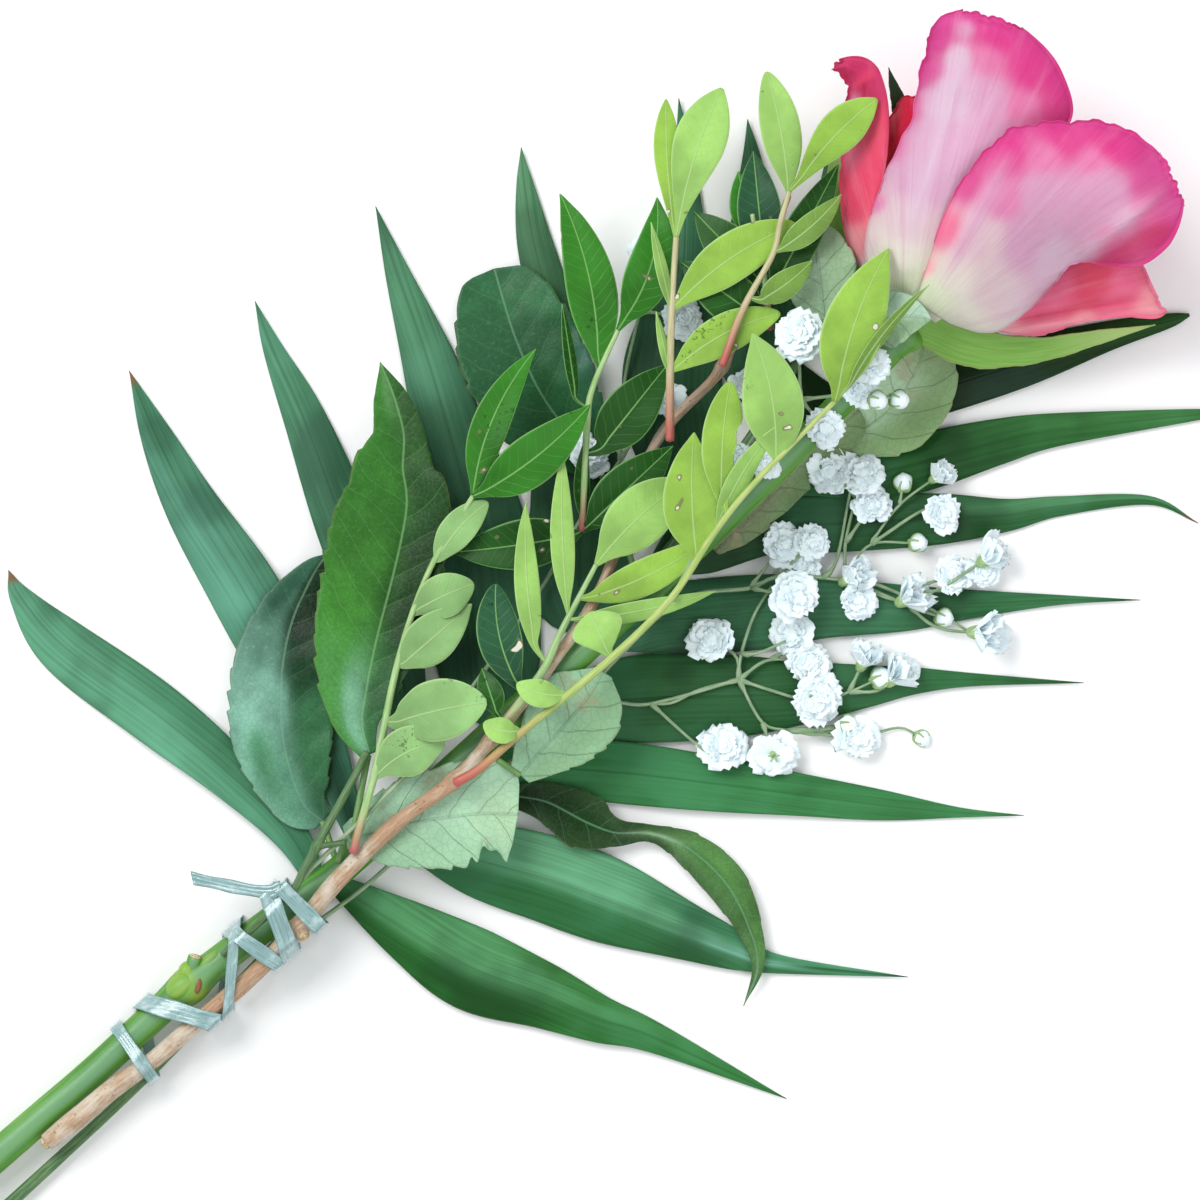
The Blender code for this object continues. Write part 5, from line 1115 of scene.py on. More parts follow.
def rose_stem():
    solid, build = Solid("rose_stem"), Build()
    way = [(-378, 1481, 3.2), (0, 1153, 3.15), (90, 1075, 3.1), (188, 986, 3.1), (300, 900, 3.0),
        (350, 862, 3.0), (500, 726, 2.9), (650, 590, 2.8), (790, 455, 2.7), (880, 362, 2.7), (903, 335, 2.8)]
    line, radius = stalk_line(solid, way, 260, ease=5, skip=3)
    swell = np.exp(-(away(line, 188, 984) / 3.6) ** 2)
    turn = around(24)
    ridges = 0.02 * np.cos(5 * turn) + 0.04 * np.sin(np.arange(260) / 9)[:, None]
    sizes = radius[:, None] + ridges + swell[:, None] * (0.8 + 0.3 * np.cos(turn - 1.9))
    tube(build, line, sizes, 24, mark=swell * 0.45)

    def height(u, v):
        return line[away(line, u, v).argmin(), 2]

    z = height(188, 978)
    ahead = (0.75, 0.66, 0.1)
    egg(build, at(181, 987, z + 1.9), (3.6, 2.5), ahead, sides=24, rows=18, mark=0.42)
    egg(build, at(186, 972, z + 1.8), (2.2, 1.7), (0.3, 1.0, 0.0), sides=18, rows=14, mark=0.5)
    egg(build, at(198, 984, z + 3.25), (2.1, 0.85), (0.2, 1.0, -0.15), mark=1.0)
    egg(build, at(207, 962, z + 2.3), (3.2, 1.1), ahead, mark=0.35)
    stub = smooth([at(188, 979, z + 0.6), at(192, 968, z + 1.8), at(195, 957, z + 2.6)], 9)
    tube(build, stub, (1.9, 1.6, 1.45, 1.4, 1.4, 1.45, 1.5, 1.5, 1.45), 14)
    tube(build, [stub[-1] - (stub[-1] - stub[-2]) * 0.2, stub[-1] + (stub[-1] - stub[-2]) * 0.25],
        (1.3, 1.2), 14, 1)
    for u, v, du, dv in ((-120, 1257, -14, -26), (-230, 1353, 20, 24), (-50, 1194, -16, -20)):
        root = np.array(at(u, v, height(u, v) + 0.5))
        tip = np.array(at(u + du, v + dv, height(u, v) + 1.5))
        hook = smooth([tuple(root), tuple((root + tip) / 2 + [0, 0, 0.15]), tuple(tip - [0.3, 0.3, 0.2])], 8)
        tube(build, hook, np.linspace(1.7, 0.12, 8) ** 1.1, 10, mark=np.linspace(0, 0.75, 8))
    splinter = smooth([at(197, 962, z + 2.2), at(210, 961, z + 2.4), at(226, 957, z + 1.8)], 12)
    tube(build, splinter, np.linspace(0.75, 0.15, 12), 8, mark=np.linspace(0, 0.35, 12))
    cup = line[-1] + unit(BLOOM_AHEAD) * np.array([-4, -3, -2, -1, 0, 0.8, 1.5, 2.0])[:, None]
    tube(build, cup, (2.7, 2.9, 3.3, 3.9, 4.4, 4.3, 3.7, 3.0), 20)
    sepals = Build()
    for points, heights, turn_up in (
            ([(905, 322, 14), (932, 332, 34), (965, 345, 42), (1000, 351, 34), (1045, 349, 24),
              (1095, 338, 15), (1155, 325, 0)], [20, 16.5, 15, 14.6, 14.5, 15.2, 18], 0.5),
            ([(903, 328, 14), (868, 292, 20), (843, 245, 22), (835, 190, 18), (840, 130, 12), (849, 96, 0)],
             [20, 18, 17.5, 17.5, 19, 21], -0.3),
            ([(905, 150, 12), (901, 122, 16), (897, 100, 14), (892, 84, 8), (888, 69, 0)],
             [24, 25.5, 27, 28, 29], 0.4)):
        sepal(sepals, points, heights, turn_up)
    build.finish("rose_stem_stalk", [STEM, CUT], "stem_green", "rose_stem")
    sepals.finish("rose_sepals", [SEPAL], "stem_green", "rose_stem")


def sepal(build, points, heights, roll):
    """A sepal with a fringed rim, from (u, v, width px) points and heights of its own."""
    rows, cols = 60, 13
    fine = smooth([(*point, z) for point, z in zip(points, heights)], rows)
    line = planned(fine)
    share, reach = np.linspace(0, 1, rows), np.linspace(-1, 1, cols)
    half_width = np.maximum(fine[:, 2] * PX / 2, 0.1)
    fringe = 1 + 0.04 * np.sin(share * 41) * (share > 0.12) + 0.02 * np.sin(share * 123)
    edge = half_width[:, None] * (1 + (fringe - 1)[:, None] * np.abs(reach) ** 8)
    side = across_of(line)
    grid = np.zeros((rows, cols, 3))
    grid[..., :2] = line[:, None] + side[:, None] * (edge * reach)[..., None]
    grid[..., 2] = fine[:, 3][:, None] + (np.abs(reach) * 0.1 + reach * roll) * half_width[:, None]
    # The sepal in the gap between the left and upper petals is marked to be painted near-black as shade.
    dark = 0.0 if points[0][1] > 200 else 1.0
    shell(build, grid, 0.22 * (0.4 + 0.6 * (1 - reach ** 2)), (share[:, None], reach, dark),
          (run_of(line)[:, None], edge * reach, 0.0))


# Pistache

# The twig's line of (u, v, radius mm)
TWIG = [(46, 1143, 1.7), (75, 1120, 2.0), (115, 1087, 1.9), (150, 1062, 1.7), (200, 1020, 1.7),
    (250, 978, 1.7), (299, 927, 1.8), (340, 878, 1.7), (400, 820, 1.5), (455, 780, 1.4), (495, 735, 1.3),
    (545, 672, 1.2), (600, 590, 1.1), (655, 445, 1.0), (720, 370, 1.0), (743, 309, 0.8), (789, 195, 0.6)]
KNOBS = ((299, 927), (353, 853), (455, 783), (492, 738), (582, 531), (670, 441), (722, 366))


def twig():
    solid, build = Solid("pistache_twig"), Build()
    line, radius = stalk_line(solid, TWIG, 220, ease=4, skip=2)
    share = np.arange(220)
    turn = around(18)
    knobs = sum(0.4 * np.exp(-(away(line, *spot) / 1.6) ** 2) for spot in KNOBS)
    rough = 0.05 * np.sin(share / 2.1)[:, None] + 0.06 * np.sin(share[:, None] / 5 + 3 * turn)
    sizes = radius[:, None] * (1 + 0.04 * np.cos(4 * turn)) + rough + knobs[:, None]
    red = np.interp(share / 219, (0, 0.55, 0.7, 1), (0, 0, 0.5, 0.7))
    tube(build, line, sizes, 18, mark=red)
    k = away(line, 299, 927).argmin()
    foot, tip = line[k], np.array(at(304, 936, line[k, 2] + 2.2))
    tube(build, np.linspace(foot, tip, 6), (1.5, 1.45, 1.35, 1.3, 1.3, 1.25), 14)
    tube(build, [tip - (tip - foot) * 0.05, tip + (tip - foot) * 0.06], (1.05, 0.95), 14, 1)
    out = unit(line[0] - line[2])
    tube(build, [line[0] + out * 0.2, line[0] + out * 0.75], (1.35, 1.25), 16, 1)
    build.finish("pistache_twig_bark", [BARK, CUT], "bark", "pistache_twig")


# Outlines of leaflets: shares of the length, each with a share of the full width
POINTED = ((0, 0.1), (0.08, 0.3), (0.2, 0.72), (0.34, 0.97), (0.5, 1), (0.66, 0.84), (0.82, 0.54),
    (0.94, 0.2), (1, 0.03))
BLUNT = ((0, 0.08), (0.1, 0.34), (0.22, 0.66), (0.36, 0.92), (0.5, 1), (0.64, 0.96), (0.78, 0.78),
    (0.9, 0.5), (0.97, 0.26), (1, 0.08))
OBOVATE = ((0, 0.08), (0.14, 0.24), (0.3, 0.54), (0.46, 0.84), (0.6, 1), (0.74, 0.95), (0.87, 0.66),
    (0.95, 0.34), (1, 0.08))
LIME, YELLOW, GREYISH, OLIVE = (0.28, 0.50, 0.12), (0.26, 0.46, 0.065), (0.24, 0.44, 0.16), (0.15, 0.28, 0.05)
# LIT and DARK are one dark leaflet green, lit and in painted shade.
LIT, DARK, BLUISH = (0.03, 0.18, 0.014), (0.014, 0.08, 0.009), (0.018, 0.08, 0.035)


def lens(base, tip, width, bend, outline):
    """The spine of an oval leaflet, bent to one side by a share of its length."""
    base, tip = np.asarray(base, float), np.asarray(tip, float)
    side = np.array([tip[1] - base[1], base[0] - tip[0]])
    return [(*(base + (tip - base) * t + side * bend * 4 * t * (1 - t)), width * w) for t, w in outline]


# Pistache leaves: stalk, then each leaflet's base, tip, width px, bend, roll, outline and colour
PISTACHE = {
    "back": (
        [(770, 330, 0.7), (762, 262, 0.6), (752, 215, 0.5)],
        [((754, 240), (738, 172), 34, 0, 0, POINTED, LIT),
         ((764, 262), (753, 152), 44, 0, 0, POINTED, BLUISH),
         ((764, 285), (694, 212), 46, 0, 0, POINTED, DARK),
         ((768, 325), (680, 262), 50, 0, 0, POINTED, DARK),
         ((768, 300), (838, 165), 40, 0, 0, POINTED, DARK)]),
    "f": (
        [(582, 531, 0.7), (587, 426, 0.7), (593, 387, 0.6), (618, 330, 0.5)],
        [((598, 369), (560, 194), 50, -0.06, 0.1, POINTED, LIT),
         ((577, 407), (562, 304), 12, 0, 0.8, POINTED, DARK),
         ((619, 327), (657, 198), 46, -0.1, 0, POINTED, LIT),
         ((595, 456), (668, 364), 52, 0, 0, POINTED, DARK),
         ((584, 530), (673, 446), 50, 0, 0, POINTED, DARK),
         ((584, 525), (587, 436), 16, 0.04, 0.5, POINTED, DARK),
         ((583, 533), (452, 552), 50, 0.02, 0, POINTED, DARK)]),
    "e": (
        [(722, 366, 0.8), (743, 309, 0.7), (772, 256, 0.6), (780, 223, 0.6), (789, 192, 0.5)],
        [((788, 194), (766, 73), 40, -0.03, 0, BLUNT, LIME),
         ((791, 194), (876, 101), 42, 0.05, 0.1, OBOVATE, YELLOW),
         ((775, 253), (841, 195), 26, -0.05, 0, POINTED, OLIVE),
         ((755, 303), (812, 261), 28, -0.05, 0.1, POINTED, OLIVE)]),
    "d": (
        [(670, 441, 0.9), (670, 368, 0.8), (672, 305, 0.7), (676, 238, 0.6)],
        [((675, 240), (666, 100), 26, 0.02, 0.2, OBOVATE, YELLOW),
         ((677, 236), (722, 89), 52, 0.04, 0, OBOVATE, LIME),
         ((673, 309), (796, 225), 48, 0.06, 0.1, BLUNT, YELLOW),
         ((671, 373), (780, 314), 40, 0.07, 0, BLUNT, YELLOW),
         ((671, 311), (651, 223), 12, 0, 0.9, POINTED, LIME),
         ((670, 377), (656, 312), 10, 0, 0.9, POINTED, LIME)]),
    "c": (
        [(492, 738, 0.9), (540, 675, 0.8), (560, 634, 0.7), (575, 605, 0.6), (596, 565, 0.5)],
        [((598, 562), (684, 482), 58, 0.04, 0, BLUNT, LIME),
         ((581, 600), (716, 534), 36, -0.05, 0, POINTED, YELLOW),
         ((570, 620), (716, 591), 20, -0.03, 0.4, POINTED, LIME),
         ((568, 615), (563, 452), 24, 0.02, 0.3, POINTED, LIME),
         ((537, 658), (526, 502), 25, 0.03, 0.3, POINTED, LIME),
         ((521, 690), (496, 584), 44, 0.08, 0.1, BLUNT, BLUISH),
         ((498, 716), (482, 668), 26, 0, 0, POINTED, DARK)]),
    "b": (
        [(455, 783, 1.0), (480, 768, 0.9), (524, 730, 0.8), (610, 659, 0.8), (671, 598, 0.7),
         (715, 531, 0.7), (757, 480, 0.6), (834, 402, 0.5)],
        [((522, 731), (484, 722), 26, 0.1, 0.3, BLUNT, LIME),
         ((567, 694), (517, 683), 28, 0.1, 0, BLUNT, LIME),
         ((610, 657), (590, 612), 52, 0, 0, OBOVATE, LIME),
         ((697, 560), (694, 433), 58, 0.03, 0, POINTED, YELLOW),
         ((722, 508), (730, 382), 42, 0.03, 0.1, BLUNT, YELLOW),
         ((775, 463), (752, 334), 60, -0.06, 0, POINTED, LIME),
         ((715, 531), (778, 425), 22, 0.05, 0.4, POINTED, LIME),
         ((836, 401), (888, 250), 60, 0.05, 0.1, POINTED, YELLOW),
         ((843, 397), (928, 286), 12, 0.05, 0.5, POINTED, OLIVE)]),
    "a": (
        [(353, 853, 0.9), (359, 829, 0.8), (376, 768, 0.8), (399, 658, 0.7), (430, 569, 0.6),
         (473, 496, 0.5)],
        [((376, 776), (445, 742), 50, 0.1, 0, BLUNT, GREYISH),
         ((388, 725), (487, 702), 62, 0.03, 0.1, BLUNT, GREYISH),
         ((398, 668), (472, 604), 48, 0, 0, POINTED, GREYISH),
         ((412, 613), (474, 584), 44, 0.03, 0, BLUNT, GREYISH),
         ((434, 565), (488, 502), 34, 0.06, 0, BLUNT, GREYISH),
         ((473, 495), (536, 349), 37, 0.075, 0, POINTED, LIT),
         ((475, 496), (590, 405), 50, -0.05, 0.1, POINTED, LIT)]),
}
# Bitten leaflets: where along and on which side, how wide and how deep
BITES = {("b", 4): ((0.45, -1, 0.12, 0.5), (0.62, -1, 0.07, 0.4))}
# How far the red of a stalk's foot reaches, in mm
RED_FEET = {"b": (0, 9, 34), "d": (0, 5, 20), "e": (0, 5, 20)}


def pistache():
    for letter, (rachis, leaflets) in PISTACHE.items():
        node = "pistache_leaf_" + letter
        solid, shaded = Solid(node), letter in ("back", "f")
        bright, dark = Build(), Build()
        line, radius = stalk_line(solid, rachis, 60)
        red = np.interp(run_of(line), RED_FEET.get(letter, (0, 3, 12)), (1, 0.6, 0))
        tube(dark if shaded else bright, line, radius, 10, kind=1, mark=red)
        for number, (base, tip, width, bend, roll, outline, colour) in enumerate(leaflets):
            spine = rooted(lens(base, tip, width, bend, outline), line)
            low, high = np.array(colour) * 0.86, np.array(colour) * 1.08
            blade(dark if colour in (LIT, DARK, BLUISH) else bright, spine, solid, rows=48, cols=15,
                fold=0.14, roll=roll, thick=0.14, wave=0.15, waves=1.5, rib=0.2, ease=5,
                bites=BITES.get((letter, number), ()), tints=((0.1, 0, 0.6, low), (0.7, 0.3, 0.6, high)))
        stalk = PISTACHE_STALKS.get(letter, PISTACHE_STALK)
        if bright.count:
            bright.finish(node + "_leaflets", [PISTACHE_LIME, stalk], "pistache_leaf", node)
        if dark.count:
            dark.finish(node + "_dark_leaflets", [PISTACHE_DARK, stalk], "pistache_leaf_dark", node)


# Gypsophila: stems of (u, v) points, the index of the stem each grows from, and its flower's size in mm,
# which is negative for a bud
BIG, SMALL = 4.6, 4.0  # mm
SPRAYS = {
    "back": [
        ([(300, 880), (400, 780), (470, 690), (540, 590), (587, 508), (620, 460)], None, None),
        ([(587, 508), (589, 452)], 0, 4.2),
        ([(620, 460), (640, 430), (666, 395)], 0, 4.2),
        ([(620, 460), (625, 380), (640, 310), (652, 252)], 0, 4.2),
        ([(640, 310), (685, 317)], 3, 4.2),
    ],
    "front": [
        ([(232, 998), (300, 936), (368, 884), (456, 804), (530, 748), (600, 705), (651, 704), (739, 680)],
         None, None),
        ([(651, 704), (707, 752), (724, 745)], 0, BIG),
        ([(739, 680), (763, 723), (790, 731)], 0, None),
        ([(763, 723), (774, 757)], 2, BIG),
        ([(790, 731), (861, 739)], 2, BIG),
        ([(739, 680), (801, 700), (817, 704)], 0, BIG),
        ([(739, 680), (736, 656), (709, 639)], 0, BIG),
        ([(739, 680), (769, 660), (811, 664)], 0, BIG),
        ([(769, 660), (811, 640), (790, 634)], 7, SMALL),
        ([(801, 700), (825, 690)], 5, SMALL),
        ([(790, 731), (849, 725)], 2, -1.9),
        ([(861, 739), (900, 728), (923, 739)], 4, -1.6),
        ([(817, 704), (850, 692), (882, 678)], 5, -2.1),
        ([(850, 692), (869, 650)], 12, 3.8),
        ([(850, 692), (880, 690), (903, 669)], 12, 3.8),
        ([(739, 680), (741, 656), (754, 616), (772, 586)], 0, None),
        ([(741, 656), (762, 652), (786, 641)], 15, None),
        ([(739, 680), (700, 690), (672, 703), (651, 704)], 0, None),
        ([(843, 725), (820, 735), (790, 731)], 2, None),
    ],
    "side": [
        ([(560, 722), (620, 655), (683, 599), (750, 588), (779, 577), (846, 581), (908, 605), (945, 618)],
         None, -1.8),
        ([(750, 588), (798, 597)], 0, 4.5),
        ([(750, 588), (785, 543)], 0, 4.5),
        ([(750, 588), (801, 565)], 0, 3.8),
        ([(779, 577), (814, 541)], 0, 3.8),
        ([(846, 581), (860, 602)], 0, 3.8),
        ([(846, 581), (860, 573)], 0, 3.8),
        ([(846, 581), (896, 600), (919, 592)], 0, 4.2),
        ([(900, 592), (956, 575)], 7, 3.8),
        ([(900, 592), (940, 590), (986, 570)], 7, 3.2),
        ([(940, 590), (999, 551)], 9, 4.1),
        ([(908, 605), (940, 628), (994, 634)], 0, 4.3),
        ([(846, 581), (870, 545), (919, 543)], 0, -1.8),
        ([(870, 545), (924, 510), (945, 514)], 12, 3.8),
        ([(870, 545), (900, 505), (945, 471)], 12, 3.0),
        ([(846, 581), (846, 543), (857, 495), (862, 471)], 0, 4.5),
        ([(846, 543), (873, 503)], 15, 3.8),
        ([(857, 495), (828, 471)], 15, 4.5),
        ([(900, 505), (904, 482)], 14, -1.8),
        ([(826, 578), (838, 557), (851, 489)], 0, None),
        ([(846, 581), (876, 584), (935, 611), (978, 637)], 0, None),
    ],
    "upper": [
        ([(672, 600), (712, 520), (735, 470), (760, 430), (800, 400)], None, None),
        ([(735, 470), (741, 458)], 0, 3.4),
        ([(735, 470), (767, 464)], 0, 3.0),
        ([(760, 430), (746, 382)], 0, 3.4),
        ([(800, 400), (798, 332)], 0, 4.8),
        ([(800, 400), (826, 429)], 0, 4.0),
        ([(800, 400), (840, 395), (861, 390)], 0, 3.6),
        ([(840, 395), (871, 362)], 6, 4.2),
        ([(840, 395), (877, 401)], 6, -1.9),
        ([(861, 390), (899, 400)], 6, -1.9),
    ],
}


# A flower's layers of petals: how many, how steep in degrees, how long and how broad
LAYERS = ((6, 4, 1.18, 0.56), (6, 14, 1.04, 0.5), (5, 27, 0.84, 0.46), (5, 44, 0.62, 0.42),
    (3, 66, 0.44, 0.4))
CUP_LAYERS = ((5, 52, 1.7, 0.42), (5, 62, 1.6, 0.4), (4, 72, 1.35, 0.36))
PETAL_OUTLINE = np.array([0.22, 0.42, 0.66, 0.86, 1.0, 0.98, 0.76])


def floret(build, middle, ahead, size, lean, eyed, cupped):
    """A double flower: layers of toothed and ruffled petals round a white middle. A cupped one is an open
    cup, to be seen from its side, and an eyed one is flat, with a green middle and stamens."""
    up = unit(np.array([ahead[0] * lean, ahead[1] * lean, 1.0]))
    one = unit(np.cross(up, [0.3, 1.0, 0.1]))
    two = np.cross(up, one)
    s, t = np.linspace(0, 1, 7)[:, None], np.linspace(-1, 1, 7)
    base = np.array(middle) - up * size * (0.95 if cupped else 0.42)
    squeeze = RANDOM.uniform(0.84, 1.04)
    core = base + up * size * np.array([0.0, 0.14, 0.24, 0.3, 0.34])[:, None]
    sizes = np.array([0.2, 0.34, 0.34, 0.24, 0.1]) * size * (0.4 if eyed else 1)
    tube(build, core, sizes, 10, int(eyed), ident=0.3)
    for number, rise, length, broad in CUP_LAYERS if cupped else LAYERS[:2] if eyed else LAYERS:
        start = RANDOM.uniform(0, 2 * math.pi)
        for k in range(number):
            turn = start + 2 * math.pi * (k + RANDOM.uniform(-0.3, 0.3)) / number
            lift = math.radians(rise + RANDOM.uniform(-7, 7))
            out = one * math.cos(turn) + two * math.sin(turn) * squeeze
            ahead_petal = out * math.cos(lift) + up * math.sin(lift)
            side = np.cross(up, out)
            face = np.cross(side, ahead_petal)
            reach = size * length * RANDOM.uniform(0.8, 1.1)
            wide = reach * broad * RANDOM.uniform(0.85, 1.2) * PETAL_OUTLINE
            teeth = np.array([0.16, 0.03, 0.11, 0.0, 0.12, 0.02, 0.16]) * RANDOM.uniform(0.5, 1.6)
            forward = reach * s * (1 - teeth * (s > 0.8))
            bow = reach * (RANDOM.uniform(-0.02, 0.16) * s ** 2 - 0.08 * t ** 2
                           + 0.05 * np.sin(4.5 * t + RANDOM.uniform(0, 6)) * s ** 2)
            grid = base + ahead_petal * forward[..., None] + side * (wide[:, None] * t)[..., None] + (
                face * -bow[..., None])
            leaf = s, t, RANDOM.uniform()
            shell(build, grid[:, ::-1], 0.06, leaf, leaf)
    if eyed:
        for turn in np.arange(5) * 1.26:
            out = one * math.cos(turn) + two * math.sin(turn)
            tube(build, [base + up * size * 0.3, base + up * size * 0.46 + out * size * 0.12,
                         base + up * size * 0.5 + out * size * 0.26], (0.22, 0.2, 0.16), 6, 1)
    return base, up


def calyx(build, base, up, size):
    """The green cup under a flower."""
    line = base + up * size * np.array([-0.42, -0.36, -0.22, -0.05, 0.1, 0.22])[:, None]
    tube(build, line, np.array([0.10, 0.2, 0.27, 0.32, 0.36, 0.3]) * size, 10, 1)


def bud(build, place, size, ahead):
    """A closed round bud, white with green ribs running up from its cup."""
    up = unit(np.array([ahead[0] * 0.8, ahead[1] * 0.8, 0.7]))
    angles = np.linspace(0.15, math.pi - 0.1, 13)
    line = np.array(place) - up * size * 1.1 * np.cos(angles)[:, None]
    turn = around(20)
    sizes = size * np.sin(angles)[:, None] * (1 + 0.05 * np.cos(5 * turn))
    tube(build, line, sizes, 20, 0, ident=0.5)
    for k in range(5):
        way = np.cos(turn[4 * k]) * unit(np.cross([0, 0, 1.0], up)) + np.sin(turn[4 * k]) * np.cross(
            up, unit(np.cross([0, 0, 1.0], up)))
        rib = line[:10] + way * sizes[:10].mean(1)[:, None]
        tube(build, rib, size * np.linspace(0.3, 0.1, 10), 6, 1)
    tube(build, line[:6], sizes[:6] * 1.08, 20, 1)


# Where the flower stands whose middle shows, and those seen from the side, which lean further and are cups
EYED = (774, 757)
TILTED = {(945, 471), (994, 634), (999, 551), (869, 650), (903, 669), (860, 573), (919, 592)}


def spray(name):
    """One gypsophila node: its stems, and a flower or bud at the end of each that bears one."""
    solid, flowers, stems = Solid("gypsophila_" + name), Build(), Build()
    lines = []
    for way, parent, flower in SPRAYS[name]:
        count = max(8, int(run_of(np.array(way, float))[-1] * PX / 1.2))
        stalk = smooth(way, count) if len(way) > 2 else np.linspace(way[0], way[1], count)
        line = planned(stalk)
        if parent is not None:
            k = np.linalg.norm(lines[parent][:, :2] - line[0], axis=1).argmin()
            line[0] = lines[parent][k, :2]
        size = abs(flower or 0)
        inside = np.linalg.norm(line - line[-1], axis=1) < size * 0.95
        skip = min(int(inside.sum()), count - 3)
        top = max((high for _, high in solid.layers(*line[-1])), default=None)
        if top is not None and way[-1] in TILTED:
            top = max(top, FLOOR + size * 2)
        end = None
        if top is not None and size:
            end = top - size * (1.05 if flower > 0 else 1.3)
        heights = solid.along(line, end, skip=skip, ease=1)
        if end is not None:
            heights[count - skip:] = np.linspace(heights[count - skip - 1], end, skip + 1)[1:]
        if parent is not None:
            heights[0] = lines[parent][k, 2]
            heights[1:3] = heights[0] + (heights[3] - heights[0]) * np.array([1 / 3, 2 / 3])
        line = np.column_stack([line, heights])
        lines.append(line)
        thin = 0.5 if parent is None else 0.38 if flower is None or size > 3 else 0.32
        radius = np.linspace(thin, thin * 0.72, count)
        radius[:2] += 0.2
        tube(stems, line, radius, 8, ident=RANDOM.uniform())
        if not flower:
            continue
        ahead = unit(line[-1] - line[-3])
        if flower > 0:
            middle = np.array([*line[-1, :2], top - 0.52 * size])
            eyed, cupped = way[-1] == EYED, way[-1] in TILTED
            base, up = floret(flowers, middle, ahead, size, 2.2 if cupped else 0.35, eyed, cupped)
            calyx(flowers, base, up, size * (0.4 if eyed else 1))
        else:
            bud(flowers, [*line[-1, :2], top - size], size, ahead)
    flowers.finish("gypsophila_" + name + "_flowers", [FLORET, CALYX], "gypsophila", "gypsophila_" + name)
    stems.finish("gypsophila_" + name + "_stems", [GYP_STEM], "gypsophila_stem", "gypsophila_" + name)


def gypsophila_cut_stem():
    solid, build = Solid("gypsophila_cut_stem"), Build()
    for way in ([(222, 955, 0.8), (262, 920, 0.8), (291, 893, 0.8), (305, 868, 0.85), (319, 842, 0.85),
                 (351, 783, 0.8), (367, 752, 0.8)], [(316, 846, 0.6), (334, 844, 0.6), (345, 842, 0.6)]):
        line, radius = stalk_line(solid, way, 12 * len(way), skip=0)
        tube(build, line, radius + 0.35 * np.exp(-(away(line, 317, 845) / 1.3) ** 2), 12)
    build.finish("gypsophila_cut_stem_stalk", [CUT_STEM], "gypsophila_stem", "gypsophila_cut_stem")


# The tie, a flat string wound zigzag round the stems

TIE_LOW = 0.45  # height of its parts below the stems, mm
TIE_THICK = 0.13  # half its thickness, mm
BUNDLE = np.array([0.74, 0.67])  # the stems' direction in the plan


def ribbon(build, points, width, wave=0.12):
    """A flat ribbed band through plan points, wide along the bundle's own direction."""
    points = np.asarray(points, float)
    run = run_of(points)
    count = max(6, int(run[-1] * 2.0))
    even = np.linspace(0, run[-1], count)
    line = np.stack([np.interp(even, run, points[:, k]) for k in range(3)], 1)
    line = np.stack([averaged(line[:, k], 1) for k in range(3)], 1)
    along = np.array([*BUNDLE, 0.0])
    ahead = unit(np.gradient(line, axis=0))
    reach = np.linspace(-1, 1, 13)
    normal = unit(np.cross(ahead, np.broadcast_to(along, ahead.shape)))
    normal *= np.sign(normal[:, 2:] + 1e-6)
    ident = RANDOM.uniform()
    lap = np.sin(even / 2.3 + ident * 20)[:, None] * reach * wave
    ribs = 0.05 * np.cos(reach * math.pi * 4) + lap
    wide = width / 2 * (1 + 0.06 * np.sin(even / 1.7 + ident * 9))
    grid = line[:, None] + along * (wide[:, None] * reach)[..., None] + normal[:, None] * ribs[..., None]
    shell(build, grid, TIE_THICK, ((even / run[-1])[:, None], reach, ident),
        (even[:, None] + ident * 40, wide[:, None] * reach, 0.0), flip=np.cross(ahead, along)[:, 2].mean()
        < 0)


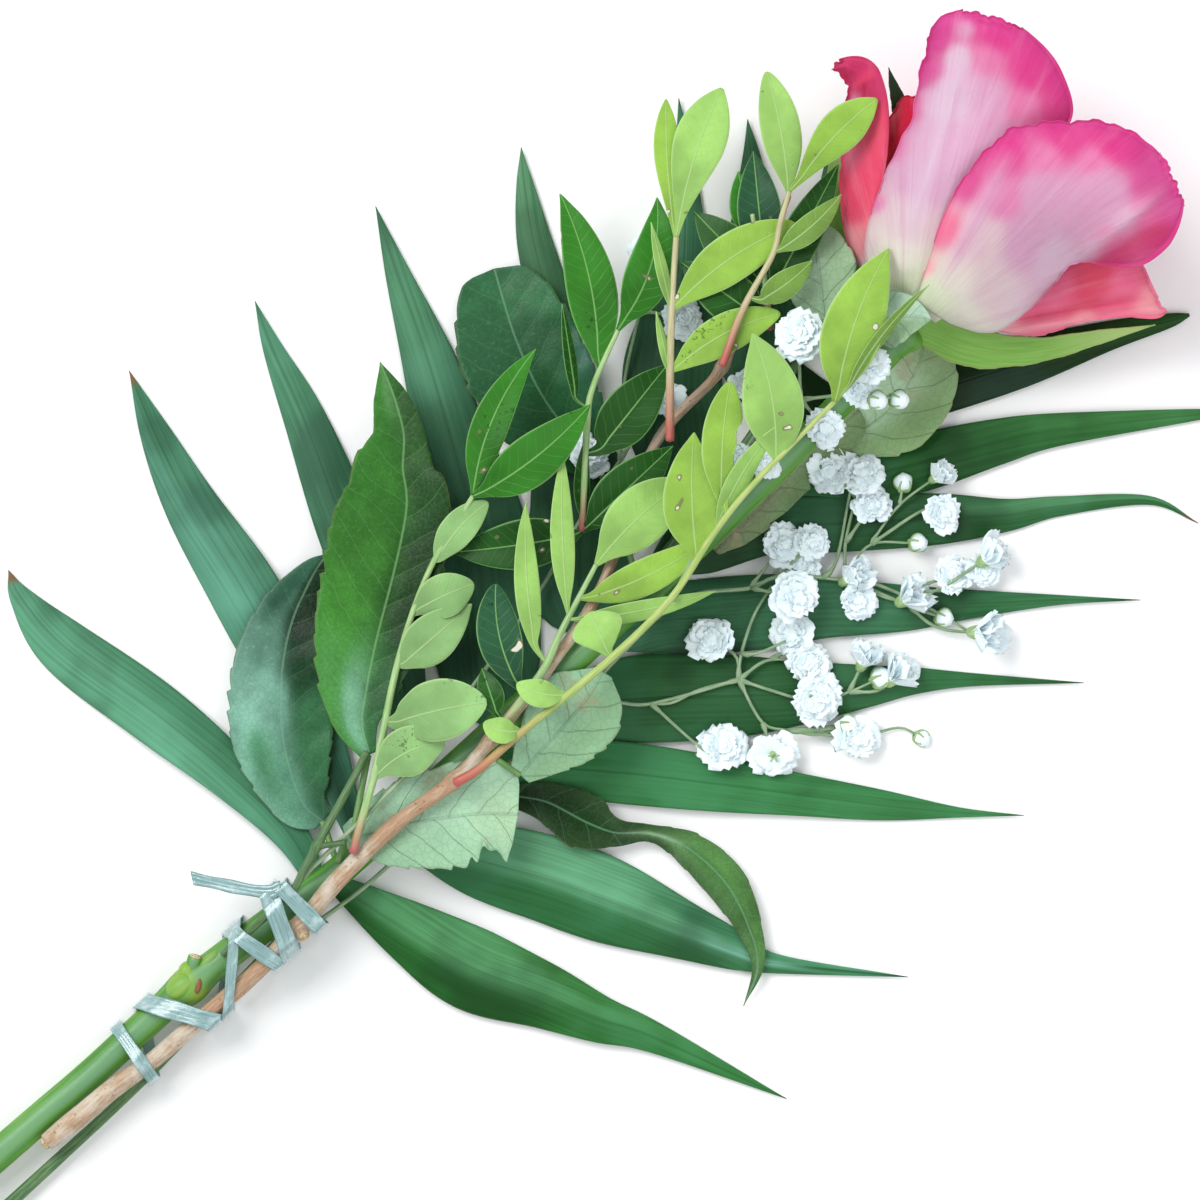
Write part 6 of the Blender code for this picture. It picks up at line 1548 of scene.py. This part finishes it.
def tie():
    """Loops round the bundle, taut over it and flat below, and one free end."""
    solid, build = Solid("tie_string"), Build()
    strands = [((119, 1032), (150, 1076), 2.6), ((150, 1004), (212, 1022), 4.4),
        ((234, 938), (228, 1010), 3.0), ((238, 936), (280, 966), 3.2), ((273, 905), (290, 952), 4.2),
        ((290, 896), (317, 924), 3.2)]
    loops = []
    for start, end, width in strands:
        first, last = np.array(plan(*start)), np.array(plan(*end))
        ahead = (last - first) / np.linalg.norm(last - first)
        line = first + ahead * np.arange(-6, np.linalg.norm(last - first) + 6, 0.5)[:, None]
        high = [solid.layers(x, y) for x, y in line]
        inside = [i for i, layers in enumerate(high) if layers and layers[0][1] > 1.6]
        line, high = line[inside[0]:inside[-1] + 1], high[inside[0]:inside[-1] + 1]
        tops = np.array([layers[0][1] if layers else np.nan for layers in high])
        known = np.flatnonzero(~np.isnan(tops))
        taut = np.interp(np.arange(len(line)), known, tops[known]) - 0.2
        loops.append((np.column_stack([line, taut])[1:-1], ahead, width))
    for k, (top, ahead, width) in enumerate(loops):
        foot_left, foot_right = [*top[0, :2] - ahead * 0.3, TIE_LOW], [*top[-1, :2] + ahead * 0.3, TIE_LOW]
        ribbon(build, np.vstack([foot_left, top, foot_right]), width)
        onward = loops[min(k + 1, len(loops) - 1)]
        landing = np.array([*(onward[0][0, :2] - onward[1] * 0.3), TIE_LOW])
        ribbon(build, np.vstack([foot_right, (np.array(foot_right) + landing) / 2, landing]), width, wave=0.0)
    start = loops[-1][0][1]
    tail = smooth([tuple(start), at(268, 892, start[2] - 0.5), at(235, 887, start[2] - 1.5),
                   at(192, 878, start[2] - 2.5)], 40)
    reach = np.linspace(-1, 1, 11)
    share = np.linspace(0, 1, 40)
    width = 1.25 + 0.1 * np.sin(share * 14)
    grid = tail[:, None] + np.array([-0.2, 1, 0]) * (width[:, None] * reach)[..., None]
    grid[..., 2] += 0.16 * np.cos(reach * math.pi * 3) + 0.2 * np.sin(share * 9)[:, None] * reach
    shell(build, grid, TIE_THICK, (share[:, None], reach, 0.4),
        (20 * share[:, None], width[:, None] * reach, 0.0), flip=True)
    build.finish("tie_string_ribbon", [STRING], "string", "tie_string")


# Floor, light and camera

# Metres for the floor, mm for the camera
FLOOR_HALF, FLOOR_LOW = 4.0, -0.0003
SENSOR, LENS = 36, 800
PICTURE_MM = PICTURE * PX


def floor():
    """A pale plane just below everything."""
    mesh = bpy.data.meshes.new("floor")
    corners = [(u * FLOOR_HALF, v * FLOOR_HALF, FLOOR_LOW) for u, v in ((-1, -1), (1, -1), (1, 1), (-1, 1))]
    mesh.from_pydata(corners, [], [(0, 1, 2, 3)])
    look = Look("floor_pale")
    grain = look.noise(look.place(), 0.02, 2.0)
    mesh.materials.append(look.finish(look.mix(grain, (0.94, 0.94, 0.94), (0.97, 0.97, 0.97)), [], 0.8))
    piece = bpy.data.objects.new("floor", mesh)
    bpy.context.scene.collection.objects.link(piece)


def image_way(u, v, z):
    """A direction in the picture, right, up and towards the viewer, as a world vector."""
    c, s = math.cos(TURN), math.sin(TURN)
    return Vector((u * c + v * s, v * c - u * s, z)).normalized()


def lamp(name, way, distance, side, power):
    light = bpy.data.lights.new(name, "AREA")
    light.shape = "SQUARE"
    light.size = side
    light.energy = power
    piece = bpy.data.objects.new(name, light)
    bpy.context.scene.collection.objects.link(piece)
    piece.location = way * distance
    piece.rotation_euler = (-way).to_track_quat("-Z", "Y").to_euler()


def stage():
    floor()
    lamp("key", image_way(-0.5, 0.5, 0.95), 1.6, 0.9, 19)
    lamp("fill", image_way(0.6, -0.4, 1.0), 1.8, 1.4, 8)
    sky = bpy.data.worlds.new("studio")
    sky.use_nodes = True
    inputs = sky.node_tree.nodes["Background"].inputs
    inputs["Color"].default_value = (0.96, 0.98, 1.0, 1)
    inputs["Strength"].default_value = 0.68
    bpy.context.scene.world = sky
    bpy.context.scene.view_settings.view_transform = "Standard"
    camera = bpy.data.objects.new("camera", bpy.data.cameras.new("camera"))
    bpy.context.scene.collection.objects.link(camera)
    camera.data.sensor_width, camera.data.lens = SENSOR, LENS
    height = PICTURE_MM * LENS / SENSOR
    camera.location = Vector(world([PICTURE_MM / 2, PICTURE_MM / 2, 15 + height]))
    camera.rotation_euler = (0, 0, -TURN)
    camera.data.clip_start, camera.data.clip_end = 0.5, 40
    bpy.context.scene.camera = camera


palm()
rose_leaves()
bloom()
rose_stem()
twig()
pistache()
for part in SPRAYS:
    spray(part)
gypsophila_cut_stem()
tie()
stage()
